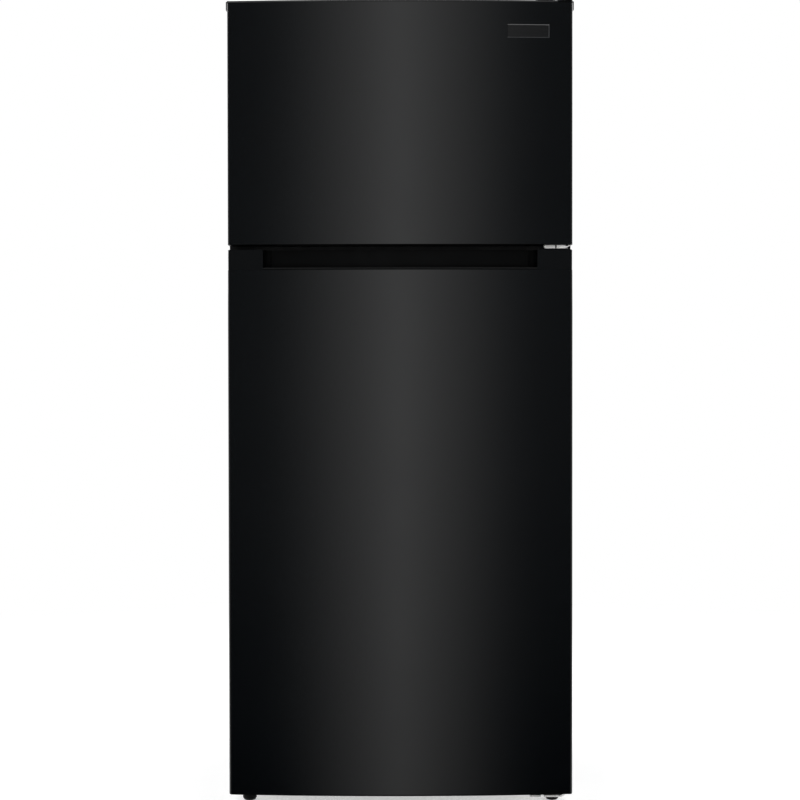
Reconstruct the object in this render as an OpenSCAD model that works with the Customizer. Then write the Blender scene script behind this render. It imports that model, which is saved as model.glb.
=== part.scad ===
// Top-freezer refrigerator, free-standing, with two foamed doors hinged on the right.
// Frame: +Z up, the doors face -Y, +X is the right-hand side seen from the front.
// Origin: centre of the overall box, at floor level. All sizes in millimetres.

/* [Cabinet] */
// Width of the steel cabinet
cab_w = 711; // [704:1:712]
// Depth of the cabinet from front flange to back panel
cab_d = 640; // [635:1:650]
// Height of the cabinet's top face above the floor
cab_top = 1676; // [1674:1:1680]
// Height of the cabinet's lower edge above the floor
cab_bottom = 50; // [48:1:52]
// Thickness of the sheet steel
sheet = 1; // [0.8:0.1:1.2]
// Thickness of the moulded liners
liner_t = 2; // [1.6:0.1:2.4]

/* [Compartments] */
// Half width of the fresh-food compartment
fridge_half = 299; // [297:1:300]
// Height of the fresh-food floor
fridge_floor = 118; // [116:1:120]
// Height of the fresh-food ceiling
fridge_ceiling = 1115; // [1113:1:1116]
// Half width of the freezer compartment
freezer_half = 290; // [288:1:292]
// Height of the freezer floor
freezer_floor = 1215; // [1214:1:1218]
// Height of the freezer ceiling
freezer_ceiling = 1618; // [1614:1:1620]
// Corner radius of both compartments
cavity_r = 18; // [12:1:24]

/* [Doors] */
// Width of both doors
door_w = 708; // [704:1:710]
// Thickness of a door at its side edges
door_t = 58; // [58:1:60]
// How far the middle of a door stands ahead of its side edges
bow = 17; // [14:1:20]
// Corner radius of a door's upright front edges
door_corner_r = 7; // [5:1:9]
// Gap between a door's back and the cabinet, filled by the gasket
gasket_t = 12; // [12:1:13]
// Height of the lower door's bottom edge
lower_z = 38; // [37:1:39]
// Height of the lower door's top edge
lower_top = 1160; // [1159:1:1161]
// Height of the gap between the doors
door_gap = 10; // [10:0.5:12]
// Height of the upper door's top edge
upper_top = 1668; // [1666:1:1669]
// How far the corner ears of the upper door stand out at the sides
ear = 2.5; // [1:0.5:3]

/* [Handle pocket] */
// Half length of the handle pocket
pocket_half = 281; // [240:1:284]
// Height of the moulded handle cap's visible face
cap_face = 42; // [38:0.5:44]
// Depth of the pocket behind the door's front
pocket_depth = 40; // [34:1:41]
// Depth of the finger groove below the lip
groove_depth = 27; // [20:1:28]
// Thickness of the pull lip
lip_t = 10; // [8:0.5:12]

/* [Hinges] */
// Distance of the hinge axis from the doors' right edge
pin_inset = 32; // [32:1:34]
// Distance of the hinge axis ahead of the doors' back
pin_ahead = 40; // [40:1:41]
// Radius of the hinge pins
pin_r = 4; // [3.5:0.1:4.5]
// Radial play of a pin in its bushing
pin_play = 0.06; // [0.02:0.01:0.1]

/* [Running gear] */
// Distance of the feet from the middle
foot_x = 321; // [318:1:323]
// Radius of a levelling foot's pad
foot_r = 14.8; // [13:0.1:15]
// Radius of a rear roller
roller_r = 18; // [17:1:19]

/* [Hidden] */
cut = 1;             // overshoot of a cutting solid
rear_bulge = 15;     // how far the rear cover stands behind the back panel

// Planes from front to back
overall_d = bow + door_t + gasket_t + cab_d + rear_bulge;
front_y = -overall_d / 2;
edge_y = front_y + bow;
door_back_y = edge_y + door_t;
flange_y = door_back_y + gasket_t;
back_y = flange_y + cab_d;
rear_y = back_y + rear_bulge;

// Doors
upper_z = lower_top + door_gap;
bow_r = (pow(door_w / 2, 2) + pow(bow, 2)) / (2 * bow);
bow_y = front_y + bow_r;
door_liner_t = 3;
door_liner_half = door_w / 2 - 20;
seam_z = lower_top - cap_face;
handle_plug_z = seam_z - 32;
handle_cap_inset = 0.8;
rim_t = 3;
hem = 0.6;
top_rim = 4.5;
plug_h = 24;
pin_x = door_w / 2 - pin_inset;
pin_y = door_back_y - pin_ahead;
bore_r = pin_r + pin_play;
gasket_half = 318;
gasket_w = 16;
dyke_h = 34;
dyke_w = 16;
bin_wall = 2.2;
bin_front_y = door_back_y + 91;

// Cabinet
shell_half = cab_w / 2;
flange_half = 303;
cavity_rear = back_y - 58;
freezer_rear = back_y - 70;
lip = 4;
pan_z = cab_bottom + 24;
pan_top = 264;
pan_y0 = back_y - 221;
pan_y1 = back_y - 191;
hump_y0 = back_y - 268;
hump_y1 = back_y - 236;
hump_z = 305;
shelf_levels = [500, 620, 740, 860, 980];
shelf_zs = [620, 860];
crisper_z = 362;
ridge_w = 10;
shelf_front = flange_y + 119;
drawer_y = flange_y + 138;
shelf_rear = cavity_rear - 27;
freezer_shelf_z = 1405;
panel_y = freezer_rear - 52;
foot_y = flange_y + 49;
foot_stem_r = 5;
roller_y = back_y - 56;
roller_x = 300;
fan_y = 262;
fan_z = 150;

steel = [0.75, 0.76, 0.78];
black = [0.07, 0.07, 0.075];
charcoal = [0.16, 0.16, 0.17];
white = [0.93, 0.94, 0.94];

// A box given by its limits
module slab(x, y, z) {
    translate([x[0], y[0], z[0]])
        cube([x[1] - x[0], y[1] - y[0], z[1] - z[0]]);
}

// Its children and their mirror image across the middle plane
module both_sides() {
    children();
    mirror([1, 0, 0])
        children();
}

// An XZ outline extruded from y0 to y1
module along_y(y0, y1) {
    translate([0, y1, 0])
        rotate([90, 0, 0])
            linear_extrude(y1 - y0)
                children();
}

// A YZ outline extruded from x0 to x1
module along_x(x0, x1) {
    translate([x0, 0, 0])
        rotate([90, 0, 90])
            linear_extrude(x1 - x0)
                children();
}

// Points of an arc about c
function arc(c, r, from, to, n = 6) =
    [for (i = [0:n]) c + r * [cos(from + (to - from) * i / n), sin(from + (to - from) * i / n)]];

// A rectangle with rounded corners, centred sideways
module round_rect(half, low, high, r) {
    polygon(concat(
        arc([half - r, low + r], r, -90, 0),
        arc([half - r, high - r], r, 0, 90),
        arc([-half + r, high - r], r, 90, 180),
        arc([-half + r, low + r], r, 180, 270)));
}

// A flat ring, centred sideways
module round_ring(half, low, high, r, w) {
    difference() {
        round_rect(half, low, high, r);
        round_rect(half - w, low + w, high - w, max(r - w, 1));
    }
}

// A round bar between two points
module bar(from, to, r) {
    d = to - from;
    len = norm(d);
    translate(from)
        rotate([0, acos(d[2] / len), atan2(d[1], d[0])])
            cylinder(r = r, h = len, $fn = 32);
}

// A chain of bars with a ball at each bend
module tube_run(points, r) {
    for (i = [0:len(points) - 2])
        bar(points[i], points[i + 1], r);
    for (i = [1:len(points) - 2])
        translate(points[i])
            sphere(r = r * 1.15, $fn = 32);
}

// ---------------------------------------------------------------- cabinet

// Outline of the steel wrapper seen from the front
module wrapper(inset, below = 0) {
    r = 8 - inset;
    half = shell_half - inset;
    polygon(concat(
        [[half, cab_bottom - below]],
        arc([half - r, cab_top - inset - r], r, 0, 90),
        arc([-half + r, cab_top - inset - r], r, 90, 180),
        [[-half, cab_bottom - below]]));
}

module cabinet_shell() {
    color(black)
        difference() {
            union() {
                along_y(flange_y, back_y)
                    difference() {
                        wrapper(0);
                        wrapper(sheet, cut);
                    }
                // front flange, turned inward round both openings
                along_y(flange_y, flange_y + sheet)
                    difference() {
                        wrapper(sheet / 2);
                        translate([-flange_half, cab_bottom - cut])
                            square([2 * flange_half, freezer_ceiling + lip - cab_bottom + cut]);
                    }
            }
            // top hinge holes, the same on both sides
            both_sides()
                for (p = top_screws())
                    translate([p[0], p[1], cab_top - 5])
                        cylinder(r = 2.5, h = 6, $fn = 24);
        }
}

// A slice of the wrapper's inside above the height z
module above_pan(y0, y1, z) {
    along_y(y0, y1)
        intersection() {
            wrapper(sheet);
            translate([-cab_w, z])
                square([2 * cab_w, cab_top]);
        }
}

module back_panel() {
    rib_w = 26;
    color(charcoal) {
        above_pan(back_y - sheet, back_y, pan_top);
        // pressed stiffening ribs
        for (x = [-230, 0, 230])
            along_y(back_y - sheet / 2, back_y + 3)
                translate([x, 0])
                    round_rect(rib_w / 2, pan_top + 90, cab_top - 90, rib_w / 2 - 1);
        for (z = [pan_top + 40, cab_top - 45])
            along_y(back_y - sheet / 2, back_y + 3)
                round_rect(300, z - 10, z + 10, 9);
    }
}

// Profile of the bottom pan
module pan_profile(t) {
    polygon([
        [flange_y + sheet, pan_z], [pan_y0, pan_z], [pan_y1, pan_top], [back_y, pan_top],
        [back_y, pan_top - t], [pan_y1 + t, pan_top - t], [pan_y0 + t, pan_z - t],
        [flange_y + sheet, pan_z - t]]);
}

module base_frame() {
    half = shell_half - sheet;
    rail_y = pan_y0 - 60;
    color(steel)
        difference() {
            union() {
                along_x(-half, half)
                    pan_profile(1);
                // front rail with its turned-under foot
                slab([-flange_half, flange_half], [flange_y, flange_y + 1.5],
                     [cab_bottom, fridge_floor - lip]);
                slab([-half, half], [flange_y + 1.2, flange_y + 60], [cab_bottom, cab_bottom + 3]);
                slab([-half, half], [flange_y + 57, flange_y + 60], [cab_bottom, pan_z - 1]);
                // side rails
                both_sides() {
                    slab([half - 2, half], [flange_y + 58, back_y - 2], [cab_bottom, pan_z - 1]);
                    slab([half - 24, half], [flange_y + 66, back_y - 2],
                         [cab_bottom - 4, cab_bottom]);
                }
                // compressor deck and its front riser
                slab([-half, half], [rail_y, back_y - 2], [cab_bottom - 4, cab_bottom - 1]);
                slab([-half, half], [rail_y, rail_y + 3], [cab_bottom - 4, pan_z - 1]);
                // threaded bosses of the levelling feet
                both_sides()
                    translate([foot_x, foot_y, cab_bottom - 12])
                        cylinder(r = 9, h = 14, $fn = 6);
                // roller ears and axles
                both_sides() {
                    for (x = [roller_x - 11, roller_x + 9])
                        slab([x, x + 2], [roller_y - 14, roller_y + 14],
                             [roller_r - 8, cab_bottom - 2]);
                    translate([roller_x - 12, roller_y, roller_r])
                        rotate([0, 90, 0])
                            cylinder(r = 3, h = 24, $fn = 32);
                }
            }
            both_sides()
                translate([foot_x, foot_y, 0])
                    cylinder(r = foot_stem_r + 0.06, h = pan_z - 4, $fn = 48);
            // cut-outs that let the rollers run up into the deck
            both_sides()
                slab([roller_x - 8.5, roller_x + 8.5],
                     [roller_y - roller_r - 3, roller_y + roller_r + 3],
                     [cab_bottom - 14.5, cab_bottom + 1.5]);
            // cooling slots under the condenser
            for (i = [0:6])
                slab([-300, -170], [150 + i * 24, 158 + i * 24], [cab_bottom - 6, cab_bottom + 2]);
        }
}

// The fresh-food cavity grown by g on all walls
module fridge_cavity(g, front = 0) {
    intersection() {
        along_y(flange_y - front, cavity_rear + g)
            round_rect(fridge_half + g, fridge_floor - g, fridge_ceiling + g, cavity_r + g);
        along_x(-cab_w, cab_w)
            polygon([
                [flange_y - front - cut, fridge_floor - g], [hump_y0 - g * 0.8, fridge_floor - g],
                [hump_y1 - g * 0.8, hump_z - g], [cavity_rear + g + cut, hump_z - g],
                [cavity_rear + g + cut, fridge_ceiling + g + cut],
                [flange_y - front - cut, fridge_ceiling + g + cut]]);
    }
}

// The freezer cavity grown by g on all walls
module freezer_cavity(g, front = 0) {
    along_y(flange_y - front, freezer_rear + g)
        round_rect(freezer_half + g, freezer_floor - g, freezer_ceiling + g, cavity_r + g);
}

// Front lip of a liner, folded out to the steel flange
module liner_lip(low, high, half) {
    along_y(flange_y, flange_y + 2.5)
        difference() {
            round_rect(flange_half, low - lip, high + lip, 2);
            round_rect(half, low, high, cavity_r);
        }
}

// Ridges on both side walls that carry a shelf whose underside is at z
module shelf_ridges(half, z, y0, y1) {
    both_sides()
        along_y(y0, y1)
            polygon([[half + 1, z - 16], [half + 1, z], [half - ridge_w, z],
                     [half - ridge_w, z - 6], [half, z - 16]]);
}

module fridge_liner() {
    color(white)
        difference() {
            union() {
                difference() {
                    union() {
                        fridge_cavity(liner_t);
                        liner_lip(fridge_floor, fridge_ceiling, fridge_half);
                    }
                    fridge_cavity(0, cut);
                }
                for (z = shelf_levels)
                    shelf_ridges(fridge_half, z, flange_y + 54, shelf_rear);
                shelf_ridges(fridge_half, crisper_z, flange_y + 54, hump_y0 + 90);
                shelf_ridges(fridge_half, crisper_z - 36, drawer_y + 3, hump_y0 - 14);
            }
            // port for the cold-air duct
            slab([-40, 40], [cavity_rear - cut, cavity_rear + 3], [1040, 1090]);
        }
}

module freezer_liner() {
    color(white)
        difference() {
            union() {
                difference() {
                    union() {
                        freezer_cavity(liner_t);
                        liner_lip(freezer_floor, freezer_ceiling, freezer_half);
                    }
                    freezer_cavity(0, cut);
                }
                shelf_ridges(freezer_half, freezer_shelf_z, flange_y + 54, panel_y - 12);
            }
            slab([-40, 40], [freezer_rear - 30, freezer_rear - 4],
                 [freezer_floor - 3, freezer_floor + 1]);
        }
}

module insulation() {
    color([0.85, 0.78, 0.55])
        difference() {
            above_pan(flange_y + 3, back_y - sheet, pan_z);
            fridge_cavity(liner_t, 10);
            freezer_cavity(liner_t, 10);
            // step over the machine compartment
            along_x(-cab_w, cab_w)
                polygon([[pan_y0, pan_z - cut], [pan_y0, pan_z], [pan_y1, pan_top],
                         [back_y, pan_top], [back_y, pan_z - cut]]);
            // cold-air passage from the freezer down to the fresh-food duct
            slab([-40, 40], [freezer_rear - 30, freezer_rear - 4], [1150, freezer_floor]);
            slab([-40, 40], [freezer_rear - 30, cavity_rear + 12], [1135, 1155]);
            slab([-40, 40], [cavity_rear + 2, cavity_rear + 12], [1040, 1155]);
            // wells behind the hinge screws
            both_sides()
                for (p = mullion_screws())
                    slab([p[0] - 6, p[0] + 6], [flange_y, flange_y + 14], [p[1] - 6, p[1] + 6]);
        }
}

module mullion_rail() {
    z0 = fridge_ceiling + lip;
    z1 = freezer_floor - lip;
    color(charcoal)
        difference() {
            slab([-flange_half, flange_half], [flange_y, flange_y + sheet * 2], [z0, z1]);
            both_sides()
                for (p = mullion_screws())
                    translate([p[0], flange_y - cut, p[1]])
                        rotate([-90, 0, 0])
                            cylinder(r = 2.5, h = 6, $fn = 24);
        }
}

// ---------------------------------------------------------------- hinges

// Screw places of the middle hinge, and of the same holes on the left
function mullion_screws() =
    [for (x = [273, 289]) for (z = [lower_top - 6, upper_z + 6]) [x, z]];
function top_screws() = [[301, flange_y + 22], [334, flange_y + 22], [317, flange_y + 62]];

module top_hinge() {
    plate = 3;
    color(steel)
        difference() {
            union() {
                slab([288, 347], [flange_y + 2, flange_y + 78], [cab_top, cab_top + plate]);
                slab([pin_x - 14, pin_x + 14], [pin_y, flange_y + 10], [cab_top, cab_top + plate]);
                translate([pin_x, pin_y, cab_top])
                    cylinder(r = 14, h = plate, $fn = 64);
                translate([pin_x, pin_y, upper_top + 1.5])
                    cylinder(r = pin_r + 3, h = cab_top - upper_top, $fn = 48);
                translate([pin_x, pin_y, upper_top - 20])
                    cylinder(r = pin_r, h = cab_top - upper_top + 20, $fn = 48);
            }
            for (p = top_screws())
                translate([p[0], p[1], cab_top - cut])
                    cylinder(r = 2.5, h = plate + 2 * cut, $fn = 24);
        }
}

module top_hinge_cover() {
    top = cab_top + 16;
    skirt = upper_top + 1.5;
    t = 1.6;
    x0 = 284;
    x1 = door_w / 2;
    y0 = edge_y + 1;
    y1 = flange_y + 84;
    color(black)
        difference() {
            intersection() {
                along_y(y0, y1)
                    polygon([[x0, cab_top], [x0 + 1, top - 4], [x0 + 5, top], [x1 - 5, top],
                             [x1 - 1, top - 3], [x1, top - 7], [x1, skirt], [x1 - 19, skirt],
                             [x1 - 30, skirt + 4], [x1 - 38, cab_top]]);
                translate([0, 0, skirt - cut])
                    linear_extrude(30)
                        translate([(x0 + x1) / 2, 0])
                            round_rect((x1 - x0) / 2, y0, y1, 10);
            }
            along_y(y0 + t, y1 - t)
                polygon([[x0 + t, cab_top - cut], [x0 + t + 1, top - 5], [x0 + 6, top - t],
                         [x1 - 6, top - t], [x1 - t, top - 7], [x1 - t, skirt - cut],
                         [x1 - 18, skirt - cut], [x1 - 30, skirt + 3], [x1 - 38, cab_top - cut]]);
            slab([x0 - cut, x1 + cut], [flange_y - 0.5, y1 + cut], [skirt - cut, cab_top]);
        }
}

module middle_hinge() {
    arm_z = lower_top + 3;
    arm_t = 4;
    front = pin_y - 12;
    z0 = lower_top + 2.4;
    z1 = upper_z - 0.8;
    color(steel)
        difference() {
            union() {
                // leaf bolted to the cabinet
                along_y(flange_y - 3, flange_y)
                    translate([281, 0])
                        round_rect(16, lower_top - 13, upper_z + 13, 5);
                slab([290, 346], [flange_y - 3, flange_y], [lower_top + 1, upper_z - 1]);
                // arm between the doors
                translate([0, 0, arm_z])
                    linear_extrude(arm_t)
                        polygon([[300, flange_y - 1], [297, front + 2], [336, front + 2],
                                 [346, pin_y + 8], [344, flange_y - 1]]);
                // turned front edge with a slot and a curl
                along_y(front, front + 3)
                    polygon(concat(
                        arc([298.9, (z0 + z1) / 2], (z1 - z0) / 2, 90, 270, 8),
                        [[318.2, z0], [318.2, z1]]));
                along_y(front, front + 3)
                    polygon([[321.1, z1], [321.1, z0], [337, z0], [341.5, z0 + 1.5],
                             [345, z0 + 3.2], [348.5, z0 + 4.9], [352, z0 + 6.1],
                             [352, z1 + 0.4], [348, z1 - 0.2], [344, z1 - 1.6], [341, z1 - 2.4],
                             [339.5, z1 - 0.7], [338, z1]]);
                translate([pin_x, pin_y, arm_z])
                    cylinder(r = pin_r + 4, h = upper_z - arm_z, $fn = 48);
                translate([pin_x, pin_y, lower_top - 20])
                    cylinder(r = pin_r, h = door_gap + 40, $fn = 48);
            }
            for (p = mullion_screws())
                translate([p[0], flange_y - 4, p[1]])
                    rotate([-90, 0, 0])
                        cylinder(r = 2.5, h = 6, $fn = 24);
        }
}

module bottom_hinge() {
    arm_z = 31;
    arm_t = 3.5;
    front = pin_y - 12;
    x0 = 266.5;
    x1 = 342;
    color(steel)
        difference() {
            union() {
                slab([x0, x1], [flange_y + 0.5, flange_y + 64], [cab_bottom - 3.5, cab_bottom]);
                slab([x0, x1], [flange_y + 0.5, flange_y + 4], [arm_z, cab_bottom]);
                translate([0, 0, arm_z])
                    linear_extrude(arm_t)
                        polygon(concat(
                            [[x1, flange_y + 3], [x0, flange_y + 3]],
                            arc([x0 + 5, front + 5], 5, 180, 270, 4),
                            [[289, front], [289, front + 22], [295.5, front + 22], [295.5, front]],
                            arc([327.5, front + 6], 6, 270, 360, 5), [[x1, pin_y + 14]]));
                translate([pin_x, pin_y, arm_z])
                    cylinder(r = pin_r + 4, h = lower_z - arm_z, $fn = 48);
                translate([pin_x, pin_y, arm_z])
                    cylinder(r = pin_r, h = lower_z - arm_z + 20, $fn = 48);
                // side gussets of the riser
                for (x = [x0, x1 - 3])
                    along_x(x, x + 3)
                        polygon([[flange_y + 2, arm_z + 1], [flange_y + 2, cab_bottom - 2],
                                 [flange_y + 16, cab_bottom - 2], [flange_y + 4, arm_z + 1]]);
            }
            // hole round the threaded boss of the levelling foot
            translate([foot_x, foot_y, cab_bottom - 6])
                cylinder(r = 10, h = 8, $fn = 48);
            for (x = [281, 336])
                translate([x, flange_y + 22, cab_bottom - 5])
                    cylinder(r = 3, h = 6, $fn = 24);
        }
}

// A washer-faced screw along +Z with its head's underside at z = 0
module screw(shank) {
    cylinder(r = 5, h = 1.2, $fn = 32);
    translate([0, 0, 1])
        cylinder(r = 4, h = 3.2, $fn = 6);
    translate([0, 0, -shank])
        cylinder(r = 2.4, h = shank + 0.5, $fn = 24);
}

module hinge_screws() {
    color(steel) {
        for (p = top_screws())
            translate([p[0], p[1], cab_top + 3])
                screw(4);
        for (p = mullion_screws())
            translate([p[0], flange_y - 3, p[1]])
                rotate([90, 0, 0])
                    screw(6);
        for (x = [281, 336])
            translate([x, flange_y + 22, cab_bottom - 3.5])
                rotate([180, 0, 0])
                    screw(3.5);
    }
}

// Plugs of the unused hinge holes on the left side
module hinge_hole_plugs() {
    color(black) {
        for (p = top_screws())
            translate([-p[0], p[1], cab_top]) {
                cylinder(r = 5, h = 1.2, $fn = 32);
                translate([0, 0, -0.9])
                    cylinder(r = 2.4, h = 1.5, $fn = 24);
            }
        for (p = mullion_screws())
            translate([-p[0], flange_y, p[1]])
                rotate([90, 0, 0]) {
                    cylinder(r = 5, h = 1.2, $fn = 32);
                    translate([0, 0, -0.9])
                        cylinder(r = 2.4, h = 1.5, $fn = 24);
                }
    }
}

// ---------------------------------------------------------------- machine compartment

comp_x = 130;
comp_y = 255;
deck_z = cab_bottom - 1;
mount_h = 12;

module compressor() {
    foot_plate = deck_z + mount_h;
    color(black) {
        translate([comp_x, comp_y, 0])
            rotate_extrude($fn = 96)
                polygon([[0, 62], [46, 62], [64, 68], [73, 82], [74, 96], [74, 150], [78, 150],
                         [78, 155], [74, 155], [74, 190], [70, 206], [56, 218], [30, 224], [0, 225]]);
        difference() {
            slab([comp_x - 100, comp_x + 100], [comp_y - 42, comp_y + 42],
                 [foot_plate, foot_plate + 3]);
            for (x = [-84, 84])
                for (y = [-30, 30])
                    translate([comp_x + x, comp_y + y, foot_plate - cut])
                        cylinder(r = 8, h = 5, $fn = 48);
        }
        // process, suction and discharge stubs
        bar([comp_x - 60, comp_y + 25, 120], [comp_x - 86, comp_y + 36, 120], 4.5);
        bar([comp_x - 62, comp_y - 20, 110], [comp_x - 90, comp_y - 29, 110], 3.5);
        bar([comp_x - 66, comp_y + 4, 100], [comp_x - 92, comp_y + 5, 100], 3);
    }
}

module compressor_mounts() {
    z = deck_z;
    color(charcoal)
        for (x = [-84, 84])
            for (y = [-30, 30])
                translate([comp_x + x, comp_y + y, 0])
                    rotate_extrude($fn = 48)
                        polygon([[3.2, z], [12, z], [12, z + 4], [10, z + 6], [12, z + 8],
                                 [12, z + mount_h], [7.8, z + mount_h], [7.8, z + mount_h + 3],
                                 [11, z + mount_h + 3], [10, z + mount_h + 7], [3.2, z + mount_h + 7]]);
}

module relay_cover() {
    color(black)
        difference() {
            slab([comp_x + 60, comp_x + 100], [comp_y - 28, comp_y + 28], [96, 146]);
            translate([comp_x, comp_y, 60])
                cylinder(r = 74.3, h = 120, $fn = 96);
            slab([comp_x + 60, comp_x + 97.5], [comp_y - 25.5, comp_y + 25.5], [98.5, 143.5]);
        }
}

// A tube that runs to and fro between x0 and x1 in the plane y
module serpentine(x0, x1, y, z0, pitch, passes, r) {
    for (i = [0:passes - 1])
        bar([x0, y, z0 + i * pitch], [x1, y, z0 + i * pitch], r);
    for (i = [0:passes - 2])
        translate([i % 2 == 0 ? x1 : x0, y, z0 + (i + 0.5) * pitch])
            rotate([90, 0, 0])
                rotate_extrude(angle = 180, start = i % 2 == 0 ? -90 : 90, $fn = 48)
                    translate([pitch / 2, 0])
                        circle(r = r, $fn = 32);
}

module condenser_coil() {
    color(charcoal) {
        for (y = [205, 255, 305])
            serpentine(-300, -184, y, 92, 20, 7, 3.2);
        for (i = [0:10])
            slab([-293 + i * 10, -292.2 + i * 10], [190, 320], [82, 222]);
        // bends from one row to the next
        translate([-184, 230, 212])
            rotate_extrude(angle = 180, start = -90, $fn = 48)
                translate([25, 0])
                    circle(r = 3.2, $fn = 32);
        translate([-300, 280, 92])
            rotate_extrude(angle = 180, start = 90, $fn = 48)
                translate([25, 0])
                    circle(r = 3.2, $fn = 32);
        // end plates standing in the drain pan
        for (x = [-298, -187])
            slab([x, x + 1.5], [188, 322], [deck_z + 2, 226]);
    }
}

module drain_pan() {
    z = deck_z;
    color(black)
        difference() {
            slab([-322, -162], [184, 326], [z, z + 29]);
            slab([-320, -164], [186, 324], [z + 2, z + 30]);
        }
}

module condenser_fan() {
    x = -126;
    color(black) {
        difference() {
            slab([x - 24, x], [fan_y - 68, fan_y + 68], [deck_z, fan_z + 68]);
            translate([x - 25, fan_y, fan_z])
                rotate([0, 90, 0])
                    cylinder(r = 62, h = 26, $fn = 96);
            slab([x - 21, x + cut], [fan_y - 60, fan_y + 60], [deck_z + 3, fan_z - 64]);
        }
        // motor on three struts
        translate([x - 6, fan_y, fan_z]) {
            rotate([0, 90, 0])
                cylinder(r = 19, h = 30, $fn = 48);
            for (a = [90, 210, 330])
                rotate([a, 0, 0])
                    slab([0.5, 5.5], [15, 64], [-4, 4]);
        }
    }
    color(steel)
        translate([x - 18, fan_y, fan_z])
            rotate([0, 90, 0])
                cylinder(r = 1.5, h = 14, $fn = 32);
}

// A fan wheel on the Z axis with a bore for its shaft
module fan_wheel(r, hub, h) {
    difference() {
        union() {
            cylinder(r = hub, h = h, $fn = 64);
            for (a = [0:72:288])
                rotate([0, 0, a])
                    intersection() {
                        translate([0, 0, h / 2])
                            rotate([32, 0, 0])
                                slab([hub - 2, r + 4], [-r * 0.3, r * 0.3], [-0.8, 0.8]);
                        cylinder(r = r, h = h, $fn = 96);
                    }
        }
        translate([0, 0, -cut])
            cylinder(r = 1.56, h = h + 2 * cut, $fn = 32);
    }
}

module condenser_fan_blade() {
    color(white)
        translate([-126 - 22, fan_y, fan_z])
            rotate([0, 90, 0])
                fan_wheel(57, 15, 14);
}

module refrigerant_tubes() {
    color([0.72, 0.42, 0.25]) {
        // discharge line to the condenser
        tube_run([[comp_x - 90, comp_y - 29, 110], [-70, 176, 110], [-150, 176, 92],
                  [-308, 176, 92], [-314, 190, 92], [-308, 205, 92], [-300.2, 205, 92]], 3);
        // suction line up into the foamed wall
        tube_run([[comp_x - 86, comp_y + 36, 120], [comp_x - 99, comp_y + 42, 121],
                  [comp_x - 100, 330, 140], [comp_x - 100, 330, pan_top - 1]], 4.5);
        // filter drier in the liquid line
        tube_run([[-184, 305, 212], [-176, 305, 212], [-160, 336, 212], [-60, 340, 212]], 3);
        bar([-60, 340, 212], [20, 340, 205], 9);
        tube_run([[20, 340, 205], [34, 340, 204], [-12, 345, 238], [-12, 345, pan_top - 1]], 2);
    }
}

module rear_cover() {
    flange = [345, cab_bottom + 1, pan_top + 8];
    shell = [322, cab_bottom + 14, pan_top - 12];
    face = rear_y - 1.6;
    color(charcoal) {
        difference() {
            union() {
                along_y(back_y, back_y + 1)
                    round_rect(flange[0], flange[1], flange[2], 4);
                along_y(back_y, face)
                    round_rect(shell[0], shell[1], shell[2], 12);
            }
            along_y(back_y - cut, face - 1.4)
                round_rect(shell[0] - 1.4, shell[1] + 1.4, shell[2] - 1.4, 10.6);
            for (x = [-210, -70, 70, 210])
                for (i = [0:9])
                    slab([x - 55, x + 55], [face - 3, face + cut], [94 + 15 * i, 101 + 15 * i]);
            translate([-292, face - 3, 78])
                rotate([-90, 0, 0])
                    cylinder(r = 7, h = 5, $fn = 48);
        }
        // hood over each cooling slot
        for (x = [-210, -70, 70, 210])
            for (i = [0:9])
                along_x(x - 54, x + 54)
                    polygon([[face - 1.2, 101.5 + 15 * i], [face - 0.2, 103 + 15 * i],
                             [rear_y, 97 + 15 * i], [rear_y, 96 + 15 * i]]);
    }
}

module cord_gland() {
    face = rear_y - 1.6;
    color(black)
        translate([-292, face, 78])
            rotate([-90, 0, 0])
                rotate_extrude($fn = 48)
                    polygon([[4, -6], [8.5, -6], [8.5, -1.4], [6.9, -1.4], [6.9, 0], [10, 0],
                             [9, 1.6], [4, 1.6]]);
}

// ---------------------------------------------------------------- running gear

module roller(x) {
    color(charcoal)
        translate([x - 7, roller_y, roller_r])
            rotate([0, 90, 0])
                rotate_extrude($fn = 96)
                    polygon([[3.06, -1], [7, -1], [7, 1], [14, 2], [14, 0], [roller_r - 2, 0],
                             [roller_r, 2], [roller_r, 12], [roller_r - 2, 14], [14, 14], [14, 12],
                             [7, 13], [7, 15], [3.06, 15]]);
}

module roller_left() {
    roller(-roller_x);
}

module roller_right() {
    roller(roller_x);
}

module levelling_foot(x) {
    color(black)
        translate([x, foot_y, 0])
            rotate_extrude($fn = 72)
                polygon([[0, 0], [foot_r - 6.5, 0], [foot_r - 2.6, 1.8], [foot_r, 6], [foot_r, 11],
                         [foot_r - 1.5, 13.5], [8, 14.5], [8, 18], [foot_stem_r, 18],
                         [foot_stem_r, 64], [foot_stem_r - 1.5, 66], [0, 66]]);
}

module foot_left() {
    levelling_foot(-foot_x);
}

module foot_right() {
    levelling_foot(foot_x);
}

// ---------------------------------------------------------------- inside the cabinet

// Frame of a glass shelf whose underside is at z
module shelf_frame(z, half, front, rear) {
    difference() {
        union() {
            slab([-half, half], [front + 4, rear], [z, z + 12]);
            along_x(-half, half)
                polygon([[front + 8, z - 7], [front + 3, z - 6], [front, z - 1], [front, z + 9],
                         [front + 3, z + 12.8], [front + 10, z + 13], [front + 10, z]]);
            slab([-half, half], [rear - 4, rear], [z, z + 24]);
        }
        slab([-half + 20, half - 20], [front + 24, rear - 16], [z - cut, z + 13]);
        slab([-half + 13.8, half - 13.8], [front + 11.8, rear - 5.8], [z + 7, z + 13]);
        // the lip stops short of the liner's ridges
        both_sides()
            slab([half - ridge_w + 2, half + 1], [front - cut, front + 12], [z - 8, z]);
    }
}

module shelf_pane(z, half, front, rear) {
    slab([-half + 14, half - 14], [front + 12, rear - 6], [z + 7, z + 11]);
}

module shelf_frames() {
    color(white)
        for (z = shelf_zs)
            shelf_frame(z, fridge_half - 3, shelf_front, shelf_rear);
}

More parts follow.
